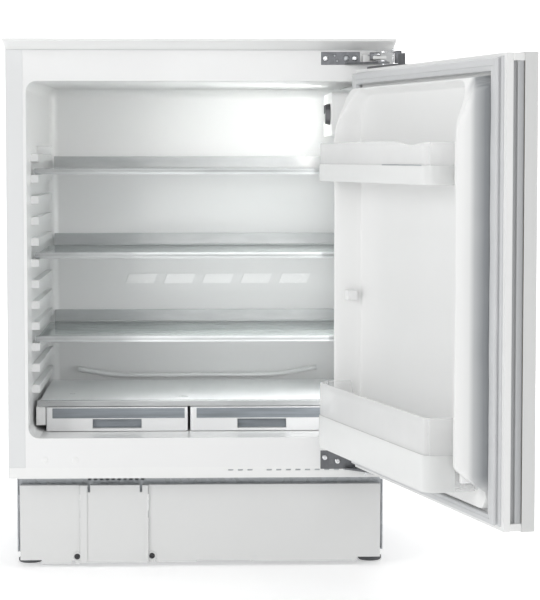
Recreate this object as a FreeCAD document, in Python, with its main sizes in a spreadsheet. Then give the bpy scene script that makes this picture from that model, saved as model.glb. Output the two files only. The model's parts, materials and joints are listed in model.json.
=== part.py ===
import FreeCAD, Part
import math
import os
import re

import Sketcher
from FreeCAD import Rotation, Vector

# Under counter fridge: a domestic built-under larder cabinet with its door open.
# Frame: millimetres, +Z up, +Y towards the back, +X to the right as seen from the front.
# Origin: on the floor, under the middle of the cabinet's front face.
# Door pieces are drawn with the door closed and then turned about the hinge pins.

DIMENSIONS = {
    # cabinet
    "case_width": 597,
    "case_depth": 545,
    "case_top": 811,
    "case_foot": 147,
    "flange_foot": 164,
    "flange_width": 26.5,
    "steel_gauge": 1.2,
    "overlap": 1,
    "back_plane": 528,
    # cavity and its liner
    "liner_wall": 2,
    "cavity_half": 267,
    "cavity_floor": 210,
    "cavity_ceiling": 763,
    "cavity_back": 440,
    "cavity_draft": 6,
    "cavity_corner": 16,
    "hump_front": 320,
    "hump_top": 250,
    "evaporator_half": 220,
    "evaporator_foot": 300,
    "evaporator_top": 740,
    "evaporator_gauge": 2,
    "base_sheet_start": 3,
    "drain_y": 424,
    "drain_radius": 5,
    "drain_wall": 3,
    "niche_front": 350,
    "niche_top": 224,
    "floor_plate": 165,
    # shelves
    "shelf_pitch": 133,
    "rib_steps": 4,
    "rib_reach": 13,
    "rib_rise": 12,
    "rib_front": 72,
    "rib_back": 392,
    "panel_left": -130,
    "panel_pitch": 67.3,
    "panel_width": 50,
    "panel_slant": 7,
    "panel_foot": 424,
    "panel_top": 442,
    "panel_proud": 1.5,
    "shelf_front": 80,
    "shelf_back": 410,
    "upper_shelf_foot": 619,
    "middle_shelf_foot": 486,
    "lower_shelf_foot": 353,
    "shelf_half": 261,
    "glass_gauge": 4,
    "trim_depth": 14,
    "trim_rise": 9,
    "trim_edge": 3,
    "trim_grip": 4,
    "rear_lip": 2,
    "rear_lip_wall": 5,
    "rear_lip_root": 7,
    "rear_trim_rise": 28,
    "rear_trim_half": 251,
    # crispers
    "crisper_front": 78,
    "crisper_back": 312,
    "crisper_foot": 211,
    "crisper_top": 249,
    "crisper_wall": 2.5,
    "crisper_outer_left": -245,
    "crisper_outer_right": 212,
    "crisper_gap": 4,
    "crisper_middle": -18,
    "grip_width": 78,
    "grip_rise": 15,
    "grip_lift": 4,
    "grip_depth": 9,
    "cover_foot": 250,
    "cover_back": 412,
    "cover_gauge": 4,
    "cover_trim_depth": 16,
    "cover_trim_grip": 12,
    "cover_trim_rise": 9,
    "cover_trim_start": 2,
    "cover_edge": 3,
    "runner_lift": 10,
    "runner_gap": 6,
    "runner_recess": 20,
    "crisper_corner": 6,
    # lamp and thermostat housing on the right wall
    "lamp_left": 208,
    "lamp_front": 62,
    "lamp_back": 262,
    "lamp_foot": 680,
    "lamp_top": 748,
    "lamp_wall": 2.5,
    "lamp_wall_gap": 5,
    "lamp_corner": 8,
    "lens_start": 112,
    "lens_end": 16,
    "lens_margin": 10,
    "lens_proud": 0.5,
    "bulb_offset": 28,
    "bulb_seat": 98,
    "socket_radius": 11,
    "socket_length": 20,
    "post_offset": 24,
    "post_start": 116,
    "post_end": 110,
    "post_half": 6,
    "thermostat_depth": 34,
    "thermostat_gap": 2,
    "thermostat_front": 18,
    "thermostat_back": 22,
    "thermostat_half": 20,
    "knob_y": 102,
    "lamp_middle": 714,
    "knob_radius": 17,
    "knob_rise": 8,
    "knob_neck": 4.2,
    "knob_taper": 1.5,
    "knob_seat": 3.8,
    "pointer_near": 8.2,
    "pointer_far": 10,
    "pointer_half": 2,
    "pointer_edge": 3,
    "shaft_radius": 3,
    "running_gap": 0.05,
    "switch_x": 236,
    "switch_radius": 4,
    "switch_reach": 21,
    "switch_tail": 12,
    "collar_radius": 6,
    "collar_start": 4,
    "collar_end": 7,
    # trims round the cabinet's front
    "top_trim_rise": 14,
    "top_trim_reach": 56,
    "top_trim_lip": 4,
    "top_trim_skin": 2.5,
    "top_trim_back": 60,
    "top_trim_slope": 16,
    "top_trim_front": 2,
    "vent_pitch": 15,
    "vent_first": 43,
    "vent_length": 8,
    "vent_rise": 2.4,
    "vent_foot": 158,
    "vent_gauge": 3,
    "vent_count": 13,
    "vent_blank": 3,
    # plinth
    "plinth_half": 284.5,
    "plinth_front": 41,
    "plinth_top": 130,
    "plinth_foot": 8,
    "plinth_skin": 2.5,
    "plinth_return": 14,
    "plinth_left_foot": 5,
    "plinth_right_foot": 7,
    "clip_half": 3,
    "clip_foot": 124,
    "clip_reach": 3.5,
    "cut_front": 30,
    "cut_back": 60,
    "left_step_end": -251,
    "left_step_top": 11,
    "left_notch_start": -204,
    "left_notch_end": -198,
    "left_notch_top": 10,
    "right_step_start": 247,
    "right_step_top": 13,
    "recess_start": -6,
    "recess_end": 80,
    "recess_top": 9,
    "right_notch_start": -73,
    "right_notch_end": -69,
    "right_notch_top": 12,
    "ridge_proud": 1.5,
    "left_ridge": 11,
    "right_ridge": 5,
    "cover_notch_width": 4,
    "cover_notch_foot": 119,
    "cover_notch_left": -178,
    "cover_notch_right": -96,
    "cover_left": -190,
    "cover_right": -83,
    "cover_proud": 3,
    "cover_gap": 0.6,
    # base and feet
    "rail_outer": 290,
    "rail_inner": 255,
    "rail_gauge": 2,
    "rail_foot": 22,
    "rail_front": 56,
    "channel_gap": 4,
    "channel_depth": 20,
    "channel_foot": 112,
    "channel_top": 156,
    "channel_slot_left": -178,
    "channel_slot_pitch": 9.3,
    "channel_slot_width": 5,
    "channel_slot_foot": 135,
    "channel_slot_top": 142,
    "channel_slots": 10,
    "foot_x": 272,
    "front_foot_y": 92,
    "rear_foot_y": 500,
    "foot_radius": 19,
    "foot_rise": 9,
    "foot_edge": 2,
    "foot_shoulder": 6,
    "nut_radius": 8,
    "nut_gap": 5,
    "stem_radius": 4,
    "stem_top": 88,
    # refrigeration
    "shelf_plate_front": 352,
    "sheet_lap": 7,
    "compressor_x": 110,
    "compressor_y": 446,
    "compressor_foot": 40,
    "compressor_radius": 72,
    "compressor_top": 196,
    "can_foot_inset": 14,
    "can_shoulder": 16,
    "seam_foot": 70,
    "seam_proud": 4,
    "seam_rise": 10,
    "can_wall_top": 118,
    "dome_inset": 8,
    "dome_rise": 136,
    "crown_inset": 24,
    "crown_rise": 150,
    "base_half_x": 92,
    "base_half_y": 50,
    "base_gauge": 3,
    "mount_radius": 9,
    "mount_dx": 84,
    "mount_dy": 42,
    "plate_lip": 14,
    "box_near": 6,
    "box_far": 36,
    "box_half": 30,
    "box_rise": 58,
    "tray_half_x": 62,
    "tray_half_y": 55,
    "tray_rise": 20,
    "tray_wall": 2,
    "drain_drop": 10,
    "gland_x": -180,
    "gland_z": 60,
    "gland_radius": 9,
    "cord_hole_radius": 3.6,
    "gland_front": 14,
    "gland_reach": 6,
    "gland_flange": 4,
    "gland_plate": 2,
    "gland_half": 20,
    "gland_rise": 24,
    "coil_y": 536,
    "coil_radius": 2.5,
    "coil_half": 225,
    "coil_pitch": 44,
    "coil_low": 268,
    "coil_runs": 12,
    "wire_radius": 1,
    "wire_edge": 15,
    "wire_over": 6,
    "wire_spaces": 7,
    # hinge
    "pin_x": 279,
    "pin_y": -50,
    "pin_radius": 3,
    "plate_left": 187,
    "plate_right": 247,
    "plate_gauge": 3,
    "upper_plate_foot": 788,
    "upper_plate_top": 808,
    "lower_plate_foot": 160,
    "lower_plate_top": 189,
    "screw_head": 4.3,
    "screw_sink": 1.5,
    "screw_shank": 2.1,
    "screw_reach": 15,
    "eye_radius": 7,
    "strap_start": 108,
    "strap_end": 7,
    "strap_front": 2.5,
    "strap_back": 24,
    "strap_gauge": 4,
    "flange_end": 84,
    "flange_front": 4,
    "flange_depth": 3,
    "upper_flange": 20,
    "lower_flange": 8,
    "pin_gap": 0.5,
    "pin_head": 2,
    "ring_x": 226,
    "ring_radius": 4.5,
    "small_radius": 1.6,
    "hinge_cover_start": 3,
    "hinge_cover_end": 21,
    "hinge_cover_front": -30,
    "hinge_cover_back": -8,
    "hinge_cover_rise": 12,
    "lower_plate_step": 6,
    "lower_plate_neck": 21,
    # door, drawn closed
    "door_angle": 104.2,
    "door_half": 297,
    "door_foot": 169,
    "door_top": 779,
    "door_face": -54,
    "door_inner": -12,
    "door_skin": 1.2,
    "door_return": 18,
    "cap_rise": 11,
    "rim_depth": 9,
    "sheet_inset": 2,
    "trench_inset": 5,
    "seal_low": 7,
    "seal_high": 5,
    "seal_gap_low": 3,
    "seal_gap_high": 4,
    "plateau_left": -261,
    "plateau_right": 259,
    "plateau_foot": 192,
    "plateau_top": 751,
    "plateau_face": -1,
    "dyke_reach": 38,
    "dyke_foot": 216,
    "dyke_top_start": 10,
    "dyke_top_slope": 62,
    "dyke_foot_slope": 30,
    "wall_step": 14,
    "wall_crease": 12,
    "right_crease": 4,
    "crest_near": 6,
    "crest_far": 20,
    "pan_edge": 24,
    "wall_lean": 5,
    "right_lean": 3,
    "right_crest": 16,
    "gasket_outer": 287,
    "gasket_inner": 265,
    "gasket_face": -1,
    # door balconies
    "balcony_half": 235,
    "balcony_root": 1,
    "balcony_reach": 70,
    "balcony_wall": 2.5,
    "balcony_corner": 18,
    "upper_balcony_foot": 611,
    "upper_balcony_split": 636,
    "upper_balcony_top": 668,
    "lower_balcony_foot": 214,
    "lug_width": 18,
    "lug_rise": 14,
    "lug_front": 8,
    "lug_tip": 231,
    "lug_lift": 12,
    "spare_lug_foot": 432,
    "left_lug_root": 22,
    "right_lug_root": 18,
    "lug_gap": 0.5,
    "lug_clear": 2,
    "lug_drop": 40,
    "balcony_post": 12,
    "balcony_back": 22,
    "lower_balcony_split": 262,
    "lower_balcony_top": 311,
    "balcony_band": 1.5,
}

doc = FreeCAD.newDocument("under_counter_fridge")
dims = doc.addObject("Spreadsheet::Sheet", "dims")
for row, (alias, value) in enumerate(DIMENSIONS.items(), start=1):
    dims.set(f"A{row}", alias)
    dims.set(f"B{row}", str(value))
    dims.setAlias(f"B{row}", alias)
doc.recompute()

NODES = []
DOOR_TURN = (
    "placement(vector(0; 0; 0); rotation(vector(0; 0; 1); dims.door_angle * 1deg);"
    " vector(dims.pin_x; dims.pin_y; 0))"
)


# ---------------------------------------------------------------- making things
def formula(value):
    """Turn each dimension's name in a formula into its cell in the sheet."""
    return re.sub(r"[a-z_]+", lambda word: f"dims.{word[0]}" if word[0] in DIMENSIONS else word[0],
                  str(value))


def bind(item, path, value):
    item.setExpression(path, formula(value))


def block(name, x, y, z):
    """A rectangular block between two places along each axis."""
    item = doc.addObject("Part::Box", name)
    for side, axis, (low, high) in zip(("Length", "Width", "Height"), "xyz", (x, y, z)):
        bind(item, side, f"({high}) - ({low})")
        bind(item, f"Placement.Base.{axis}", low)
    return item


TURNS = {"x": Rotation(Vector(0, 1, 0), 90), "y": Rotation(Vector(1, 0, 0), -90), "z": Rotation()}


def rod(name, axis, centre, radius, span):
    """A round rod along one axis, through a centre given on the two other axes."""
    item = doc.addObject("Part::Cylinder", name)
    item.Placement.Rotation = TURNS[axis]
    bind(item, "Radius", radius)
    bind(item, "Height", f"({span[1]}) - ({span[0]})")
    bind(item, f"Placement.Base.{axis}", span[0])
    for other, place in zip("xyz".replace(axis, ""), centre):
        bind(item, f"Placement.Base.{other}", place)
    return item


def fuse(name, parts):
    item = doc.addObject("Part::MultiFuse", name)
    item.Shapes = parts
    item.Refine = True
    return item


def cut(name, base, tools):
    item = doc.addObject("Part::Cut", name)
    item.Base = base
    item.Tool = tools[0] if len(tools) == 1 else fuse(name + "_tools", tools)
    return item


def common(name, first, second):
    item = doc.addObject("Part::MultiCommon", name)
    item.Shapes = [first, second]
    return item


def group(name, parts):
    """Separate solids that share one node."""
    item = doc.addObject("Part::Compound", name)
    item.Links = parts
    return item


def new_body(name):
    return doc.addObject("PartDesign::Body", name)


def outline(body, role, points, level):
    """A closed outline of straight lines on one of the body's planes, moved along its normal."""
    plane = next(item for item in body.Origin.OriginFeatures if item.Role == role)
    sketch = body.newObject("Sketcher::SketchObject", body.Name + "_outline")
    sketch.AttachmentSupport = [(plane, "")]
    sketch.MapMode = "FlatFace"
    bind(sketch, "AttachmentOffset.Base.z", level)
    count = len(points)
    ring = [Vector(math.cos(2 * math.pi * i / count), math.sin(2 * math.pi * i / count),
                   0) for i in range(count)]
    for i in range(count):
        sketch.addGeometry(Part.LineSegment(ring[i], ring[(i + 1) % count]), False)
    for i in range(count):
        sketch.addConstraint(Sketcher.Constraint("Coincident", i, 2, (i + 1) % count, 1))
    for i, point in enumerate(points):
        for kind, start, place in zip(("DistanceX", "DistanceY"), (ring[i].x, ring[i].y), point):
            index = sketch.addConstraint(Sketcher.Constraint(kind, -1, 1, i, 1, start))
            sketch.setExpression(f"Constraints[{index}]", formula(place))
    return sketch


def pad(body, role, points, span):
    """Grow an outline between two places along its plane's normal axis."""
    level = f"-({span[1]})" if role == "XZ_Plane" else span[0]
    feature = body.newObject("PartDesign::Pad", body.Name + "_pad")
    feature.Profile = outline(body, role, points, level)
    bind(feature, "Length", f"({span[1]}) - ({span[0]})")
    return feature


def pocket(body, role, points, span):
    """Cut an outline out of the body between two places along its plane's normal axis."""
    level = f"-({span[0]})" if role == "XZ_Plane" else span[1]
    feature = body.newObject("PartDesign::Pocket", body.Name + "_pocket")
    feature.Profile = outline(body, role, points, level)
    bind(feature, "Length", f"({span[1]}) - ({span[0]})")
    return feature


def round_edges(body, radius, wanted):
    """Round the body's edges that the test picks."""
    doc.recompute()
    tip = body.Tip
    names = [f"Edge{i}" for i, edge in enumerate(tip.Shape.Edges, start=1) if wanted(edge)]
    fillet = body.newObject("PartDesign::Fillet", body.Name + "_fillet")
    fillet.Base = (tip, names)
    bind(fillet, "Radius", radius)
    return fillet


def runs_along(edge, axis):
    """Whether an edge is straight and parallel to an axis."""
    return edge.Curve.TypeId == "Part::GeomLine" and abs(abs(edge.tangentAt(0).dot(axis)) - 1) < 0.01


def rectangle(low, high):
    return [(low[0], low[1]), (high[0], low[1]), (high[0], high[1]), (low[0], high[1])]


def turned(name, profile):
    """A solid turned about Z from a profile of radius and height."""
    body = new_body(name)
    sketch = outline(body, "XZ_Plane", profile, 0)
    feature = body.newObject("PartDesign::Revolution", name + "_turn")
    feature.Profile = sketch
    feature.ReferenceAxis = (sketch, ["V_Axis"])
    feature.Angle = 360
    return body


def move(item, **places):
    for axis, place in places.items():
        bind(item, f"Placement.Base.{axis}", place)
    return item


def node(label, item):
    """Name a finished piece of the fixed cabinet or of something that rides in it."""
    item.Label = label
    NODES.append(item)
    return item


def door_node(label, item):
    """Name a finished piece of the door, and swing it open."""
    item.setExpression("Placement", DOOR_TURN)
    return node(label, item)


Z_AXIS = Vector(0, 0, 1)
X_AXIS = Vector(1, 0, 0)
Y_AXIS = Vector(0, 1, 0)


# ---------------------------------------------------------------- cabinet shell
def make_outer_case():
    """Painted steel sides and top, with flanges turned in at the front."""
    half = "case_width/2"
    inner = "case_width/2 - steel_gauge"
    depth = (0, "case_depth")
    height = ("case_foot", "case_top")
    parts = [
        block("case_left", (f"-{half}", f"-({inner})"), depth, height),
        block("case_right", (inner, half), depth, height),
        block("case_roof", (f"-{half}", half), depth, ("case_top - steel_gauge", "case_top")),
    ]
    for name, low, high in (
        ("case_left_flange", f"-{half}", f"-({half} - flange_width)"),
        ("case_right_flange", f"{half} - flange_width", half),
    ):
        parts.append(block(name, (low, high), (0, "steel_gauge"), ("flange_foot", "case_top")))
    node("outer_case", fuse("outer_case", parts))


def cavity_form(name, grow):
    """The cavity's space, or the same grown by the liner's wall, narrower at the back."""
    body = new_body(name)
    front_half = f"cavity_half + {grow}"
    back_half = f"cavity_half - cavity_draft + {grow}"
    plan = [(f"-({front_half})", 0), (front_half, 0), (back_half, f"cavity_back + {grow}"),
            (f"-({back_half})", f"cavity_back + {grow}")]
    pad(body, "XY_Plane", plan, (f"cavity_floor - {grow}", f"cavity_ceiling + {grow}"))
    round_edges(body, f"cavity_corner + {grow}", lambda edge: not lies_in_front(edge))
    hump = block(name + "_hump", ("-case_width", "case_width"), (f"hump_front + {grow}", "case_depth"),
                 (0, f"hump_top - {grow}"))
    return cut(name + "_space", body, [hump])


def lies_in_front(edge):
    """Whether an edge touches only the cabinet's front plane."""
    return max(vertex.Point.y for vertex in edge.Vertexes) < 1


def shelf_ribs():
    """The ledges that both side walls carry, one pitch in four under a shelf."""
    ribs = []
    top = "upper_shelf_foot - 1"
    for step in range(-1, 11):
        rib_top = f"{top} - {step} * shelf_pitch / rib_steps"
        for side, low, high in (("left", "-cavity_half - 1", "-cavity_half + rib_reach"),
                                ("right", "cavity_half - rib_reach", "cavity_half + 1")):
            ribs.append(block(f"rib_{side}_{step + 1}", (low, high), ("rib_front", "rib_back"),
                              (f"{rib_top} - rib_rise", rib_top)))
    return ribs


def back_panels():
    """Five slanted raised panels across the back wall."""
    panels = []
    for index in range(5):
        body = new_body(f"back_panel_{index}")
        left = f"panel_left + {index} * panel_pitch"
        points = [(left, "panel_foot"), (f"{left} + panel_width", "panel_foot"),
                  (f"{left} + panel_width + panel_slant", "panel_top"),
                  (f"{left} + panel_slant", "panel_top")]
        pad(body, "XZ_Plane", points, ("cavity_back - panel_proud", "cavity_back + overlap"))
        panels.append(body)
    return panels


def make_liner(fixings, drain):
    """The moulded inner liner: five walls, the front frame, ledges and back panels."""
    space = cavity_form("cavity", "0")
    skin = cavity_form("cavity_skin", "liner_wall")
    frame = block("liner_frame", ("-(case_width/2 - flange_width)", "case_width/2 - flange_width"),
                  (0, "liner_wall"), ("flange_foot", "case_top - steel_gauge"))
    shell = cut("liner_shell", fuse("liner_outer", [skin, frame]), [space])
    inside = common("liner_inside", fuse("liner_ledges", shelf_ribs() + back_panels()), space)
    whole = fuse("liner_whole", [shell, inside])
    node("inner_liner", cut("inner_liner", whole, fixings + [drain]))
    return skin, frame


def make_foam(skin, frame, fixings, drain):
    """The foam between the case and the liner, stepped over the compressor's niche."""
    inner = "case_width/2 - steel_gauge"
    body = new_body("foam_block")
    profile = [
        ("steel_gauge", "floor_plate + steel_gauge"),
        ("niche_front", "floor_plate + steel_gauge"),
        ("niche_front", "niche_top + steel_gauge"),
        ("back_plane", "niche_top + steel_gauge"),
        ("back_plane", "case_top - steel_gauge"),
        ("steel_gauge", "case_top - steel_gauge"),
    ]
    pad(body, "YZ_Plane", profile, (f"-({inner})", inner))
    place = (("-evaporator_half", "evaporator_half"),
             ("cavity_back + liner_wall", "cavity_back + liner_wall + evaporator_gauge"),
             ("evaporator_foot", "evaporator_top"))
    evaporator = block("evaporator_space", *place)
    tools = [skin, frame, evaporator, drain] + fixings
    node("foam_insulation", cut("foam_insulation", body, tools))
    node("evaporator_plate", block("evaporator_plate", *place))


def make_back_and_base(drain):
    """The rear sheet, and the bent sheet under the foam that forms the niche's roof."""
    inner = "case_width/2 - steel_gauge"
    node("rear_panel",
         block("rear_panel", (f"-({inner})", inner), ("back_plane", "back_plane + steel_gauge"),
                             ("niche_top", "case_top - steel_gauge")))
    body = new_body("base_sheet")
    profile = [
        ("base_sheet_start", "floor_plate"),
        ("niche_front + steel_gauge", "floor_plate"),
        ("niche_front + steel_gauge", "niche_top"),
        ("back_plane", "niche_top"),
        ("back_plane", "niche_top + steel_gauge"),
        ("niche_front", "niche_top + steel_gauge"),
        ("niche_front", "floor_plate + steel_gauge"),
        ("base_sheet_start", "floor_plate + steel_gauge"),
    ]
    pad(body, "YZ_Plane", profile, (f"-({inner})", inner))
    node("base_plate", cut("base_plate_drilled", body, [drain]))


def make_top_trim():
    """The worktop trim: a flat top, a thin front lip and a sloping underside, hollow inside."""
    body = new_body("top_trim")
    high = "case_top + top_trim_rise"
    profile = [
        ("-top_trim_reach", high),
        ("top_trim_back", high),
        ("top_trim_back", "case_top"),
        ("0", "case_top"),
        ("-top_trim_reach + top_trim_lip", f"{high} - top_trim_lip"),
        ("-top_trim_reach", f"{high} - top_trim_lip"),
    ]
    pad(body, "YZ_Plane", profile, ("-case_width/2", "case_width/2"))
    hollow = [
        ("-top_trim_reach + top_trim_slope", f"{high} - top_trim_skin"),
        ("top_trim_back - top_trim_skin", f"{high} - top_trim_skin"),
        ("top_trim_back - top_trim_skin", "case_top"),
        ("2", "case_top"),
        ("top_trim_front", "case_top + top_trim_skin"),
    ]
    pocket(body, "YZ_Plane", hollow, ("-case_width/2 + top_trim_skin", "case_width/2 - top_trim_skin"))
    node("top_trim", body)


def make_vent_trim(fixings):
    """The trim under the door, with a row of air slots on the right and one blank."""
    half = "case_width/2 - steel_gauge"
    strip = block("vent_strip", (f"-({half})", half), (0, "vent_gauge"), ("case_foot", "flange_foot"))
    slots = []
    for index in range(DIMENSIONS["vent_count"]):
        if index == DIMENSIONS["vent_blank"]:
            continue
        left = f"vent_first + {index} * vent_pitch"
        slots.append(block(f"vent_slot_{index}", (left, f"{left} + vent_length"),
                           ("-overlap", "vent_gauge + overlap"), ("vent_foot", "vent_foot + vent_rise")))
    node("vent_trim", cut("vent_trim", strip, slots + fixings))


# ---------------------------------------------------------------- inside the cavity
def make_shelf(label, foot):
    """A glass shelf with a low front trim and a raised rear trim."""
    front_edge = "shelf_front + trim_depth - trim_grip"
    rear_edge = "shelf_back - trim_depth + trim_grip"
    glass_low = f"{foot} + trim_edge"
    glass = block(f"{label}_glass", ("-shelf_half + 2", "shelf_half - 2"), (front_edge, rear_edge),
                  (glass_low, f"{glass_low} + glass_gauge"))
    node(f"{label}_glass", glass)

    front = new_body(f"{label}_front_trim")
    profile = [
        ("shelf_front + trim_edge", foot),
        ("shelf_front + trim_depth", foot),
        ("shelf_front + trim_depth", f"{glass_low}"),
        (front_edge, f"{glass_low}"),
        (front_edge, f"{glass_low} + glass_gauge"),
        ("shelf_front + trim_depth", f"{glass_low} + glass_gauge"),
        ("shelf_front + trim_depth", f"{foot} + trim_rise"),
        ("shelf_front + trim_edge", f"{foot} + trim_rise"),
        ("shelf_front", f"{foot} + trim_rise - trim_edge"),
        ("shelf_front", f"{foot} + trim_edge"),
    ]
    pad(front, "YZ_Plane", profile, ("-shelf_half", "shelf_half"))
    node(f"{label}_front_trim", front)

    rear = new_body(f"{label}_rear_trim")
    profile = [
        ("shelf_back - trim_depth", foot),
        ("shelf_back", foot),
        ("shelf_back", f"{foot} + rear_trim_rise - rear_lip"),
        ("shelf_back - rear_lip", f"{foot} + rear_trim_rise"),
        ("shelf_back - rear_lip_wall", f"{foot} + rear_trim_rise"),
        ("shelf_back - rear_lip_root", f"{foot} + trim_rise"),
        ("shelf_back - trim_depth", f"{foot} + trim_rise"),
        ("shelf_back - trim_depth", f"{glass_low} + glass_gauge"),
        (rear_edge, f"{glass_low} + glass_gauge"),
        (rear_edge, glass_low),
        ("shelf_back - trim_depth", glass_low),
    ]
    pad(rear, "YZ_Plane", profile, ("-rear_trim_half", "rear_trim_half"))
    node(f"{label}_rear_trim", rear)


def make_crisper(label, left, right):
    """An open drawer with a grip recess moulded into its front."""
    body = new_body(f"{label}_bin")
    pad(body, "XY_Plane", rectangle((left, "crisper_front"), (right, "crisper_back")),
        ("crisper_foot", "crisper_top"))
    round_edges(body, "crisper_corner", lambda edge: runs_along(edge, Z_AXIS))
    inner_low = (f"{left} + crisper_wall", "crisper_front + crisper_wall")
    inner_high = (f"{right} - crisper_wall", "crisper_back - crisper_wall")
    pocket(body, "XY_Plane", rectangle(inner_low, inner_high),
           ("crisper_foot + crisper_wall", "crisper_top"))
    middle = f"(({left}) + ({right})) / 2"
    grip = {}
    for name, grow, back in (("shell", "crisper_wall", "grip_depth + crisper_wall"),
                             ("recess", "0", "grip_depth")):
        grip[name] = block(f"{label}_grip_{name}",
                           (f"{middle} - grip_width/2 - {grow}", f"{middle} + grip_width/2 + {grow}"),
                           ("crisper_front", f"crisper_front + {back}"),
                           (f"crisper_foot + grip_lift - {grow}",
                            f"crisper_foot + grip_lift + grip_rise + {grow}"))
    node(label, cut(label, fuse(f"{label}_whole", [body, grip["shell"]]), [grip["recess"]]))


def make_crisper_parts():
    """Two drawers, their cover and the runners beside them."""
    make_crisper("left_crisper", "crisper_outer_left", "crisper_middle - crisper_gap/2")
    make_crisper("right_crisper", "crisper_middle + crisper_gap/2", "crisper_outer_right")
    node("crisper_cover_glass", block("crisper_cover_glass", ("-shelf_half + 4", "shelf_half - 4"),
                                      ("crisper_front + cover_trim_grip", "cover_back"),
                                      ("cover_foot + cover_edge", "cover_foot + cover_edge + cover_gauge")))
    trim = new_body("crisper_cover_trim")
    near, slot, far = (f"crisper_front + {place}"
                       for place in ("cover_trim_start", "cover_trim_grip", "cover_trim_depth"))
    profile = [
        (near, "cover_foot"),
        (far, "cover_foot"),
        (far, "cover_foot + cover_edge"),
        (slot, "cover_foot + cover_edge"),
        (slot, "cover_foot + cover_edge + cover_gauge"),
        (far, "cover_foot + cover_edge + cover_gauge"),
        (far, "cover_foot + cover_trim_rise"),
        (near, "cover_foot + cover_trim_rise"),
    ]
    pad(trim, "YZ_Plane", profile, ("-shelf_half + 2", "shelf_half - 2"))
    node("crisper_cover_trim", trim)
    runners = [
        block("runner_left", ("-cavity_half + runner_gap", "crisper_outer_left - 1"),
              ("crisper_front + 4", "hump_front - runner_gap"),
              ("cavity_floor + runner_lift", "cover_foot")),
        block("runner_right", ("crisper_outer_right + 1", "cavity_half - runner_gap"),
              ("crisper_front + runner_recess", "hump_front - runner_gap"),
              ("cavity_floor + runner_lift", "cover_foot")),
    ]
    node("crisper_runners", group("crisper_runners", runners))


def make_lamp_unit():
    """The housing on the right wall, with its thermostat, bulb, lens, knob and switch button."""
    body = new_body("lamp_shell")
    right = "cavity_half - lamp_wall_gap"
    pad(body, "YZ_Plane", rectangle(("lamp_front", "lamp_foot"), ("lamp_back", "lamp_top")),
        ("lamp_left", right))
    round_edges(body, "lamp_corner", lambda edge: runs_along(edge, X_AXIS))
    pocket(body, "YZ_Plane", rectangle(("lamp_front + lamp_wall", "lamp_foot + lamp_wall"),
                                       ("lamp_back - lamp_wall", "lamp_top - lamp_wall")),
           ("lamp_left + lamp_wall", right))
    lens_place = (("lamp_back - lens_start", "lamp_back - lens_end"),
                  ("lamp_foot + lens_margin", "lamp_top - lens_margin"))
    window = block("lens_window", ("lamp_left - 1", "lamp_left + lamp_wall + 1"),
                   *lens_place)
    shaft_hole = rod("knob_hole", "x", ("knob_y", "lamp_middle"), "shaft_radius + running_gap",
                     ("lamp_left - 1", "lamp_left + lamp_wall + 1"))
    switch_hole = rod("switch_hole", "y", ("switch_x", "lamp_middle"), "switch_radius + running_gap",
                      ("lamp_front - 1", "lamp_front + lamp_wall + 1"))
    socket = rod("bulb_socket", "y", ("lamp_left + bulb_offset", "lamp_middle"), "socket_radius",
                 ("lamp_back - bulb_seat - socket_length", "lamp_back - bulb_seat"))
    post_depth = ("lamp_back - post_start", "lamp_back - post_end")
    post = block("bulb_post", ("lamp_left + post_offset", right), post_depth,
                 ("lamp_middle - post_half", "lamp_middle + post_half"))
    tie = block("bulb_tie", ("lamp_left + post_offset", f"{right} - 1"), post_depth,
                ("lamp_foot + 1", "lamp_middle"))
    node("lamp_housing",
         fuse("lamp_housing",
              [cut("lamp_casing", body, [window, shaft_hole, switch_hole]), socket, post, tie]))
    node("lamp_lens", block("lamp_lens", ("lamp_left - lens_proud", "lamp_left + lamp_wall"), *lens_place))
    bulb = turned("light_bulb", [(0, 0), (7, 0), (7, 16), (13, 28), (15, 38), (13, 48), (7, 55), (0, 57)])
    bulb.Placement.Rotation = TURNS["y"]
    move(bulb, x="lamp_left + bulb_offset", y="lamp_back - bulb_seat", z="lamp_middle")
    node("light_bulb", bulb)
    node("thermostat",
         block("thermostat",
               ("lamp_left + lamp_wall + thermostat_gap", "lamp_left + thermostat_depth"),
               ("knob_y - thermostat_front", "knob_y + thermostat_back"),
               ("lamp_middle - thermostat_half", "lamp_middle + thermostat_half")))
    knob = turned("knob_solid", [
        (0, 0), ("shaft_radius", 0), ("shaft_radius", "knob_neck"), ("knob_radius", "knob_neck"),
        ("knob_radius - knob_taper", "knob_neck + knob_rise"), (0, "knob_neck + knob_rise")])
    knob.Placement.Rotation = Rotation(Vector(0, 1, 0), -90)
    move(knob, x="lamp_left + knob_seat", y="knob_y", z="lamp_middle")
    pointer = block("knob_pointer", ("lamp_left - pointer_far", "lamp_left - pointer_near"),
                    ("knob_y - pointer_half", "knob_y + pointer_half"),
                    ("lamp_middle + 1", "lamp_middle + knob_radius - pointer_edge"))
    node("thermostat_knob", fuse("thermostat_knob_whole", [knob, pointer]))
    button = fuse("switch_button", [
        rod("switch_stem", "y", ("switch_x", "lamp_middle"), "switch_radius",
            ("lamp_front - switch_reach", "lamp_front + switch_tail")),
        rod("switch_collar", "y", ("switch_x", "lamp_middle"), "collar_radius",
            ("lamp_front + collar_start", "lamp_front + collar_end")),
    ])
    node("light_switch_button", button)


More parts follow.
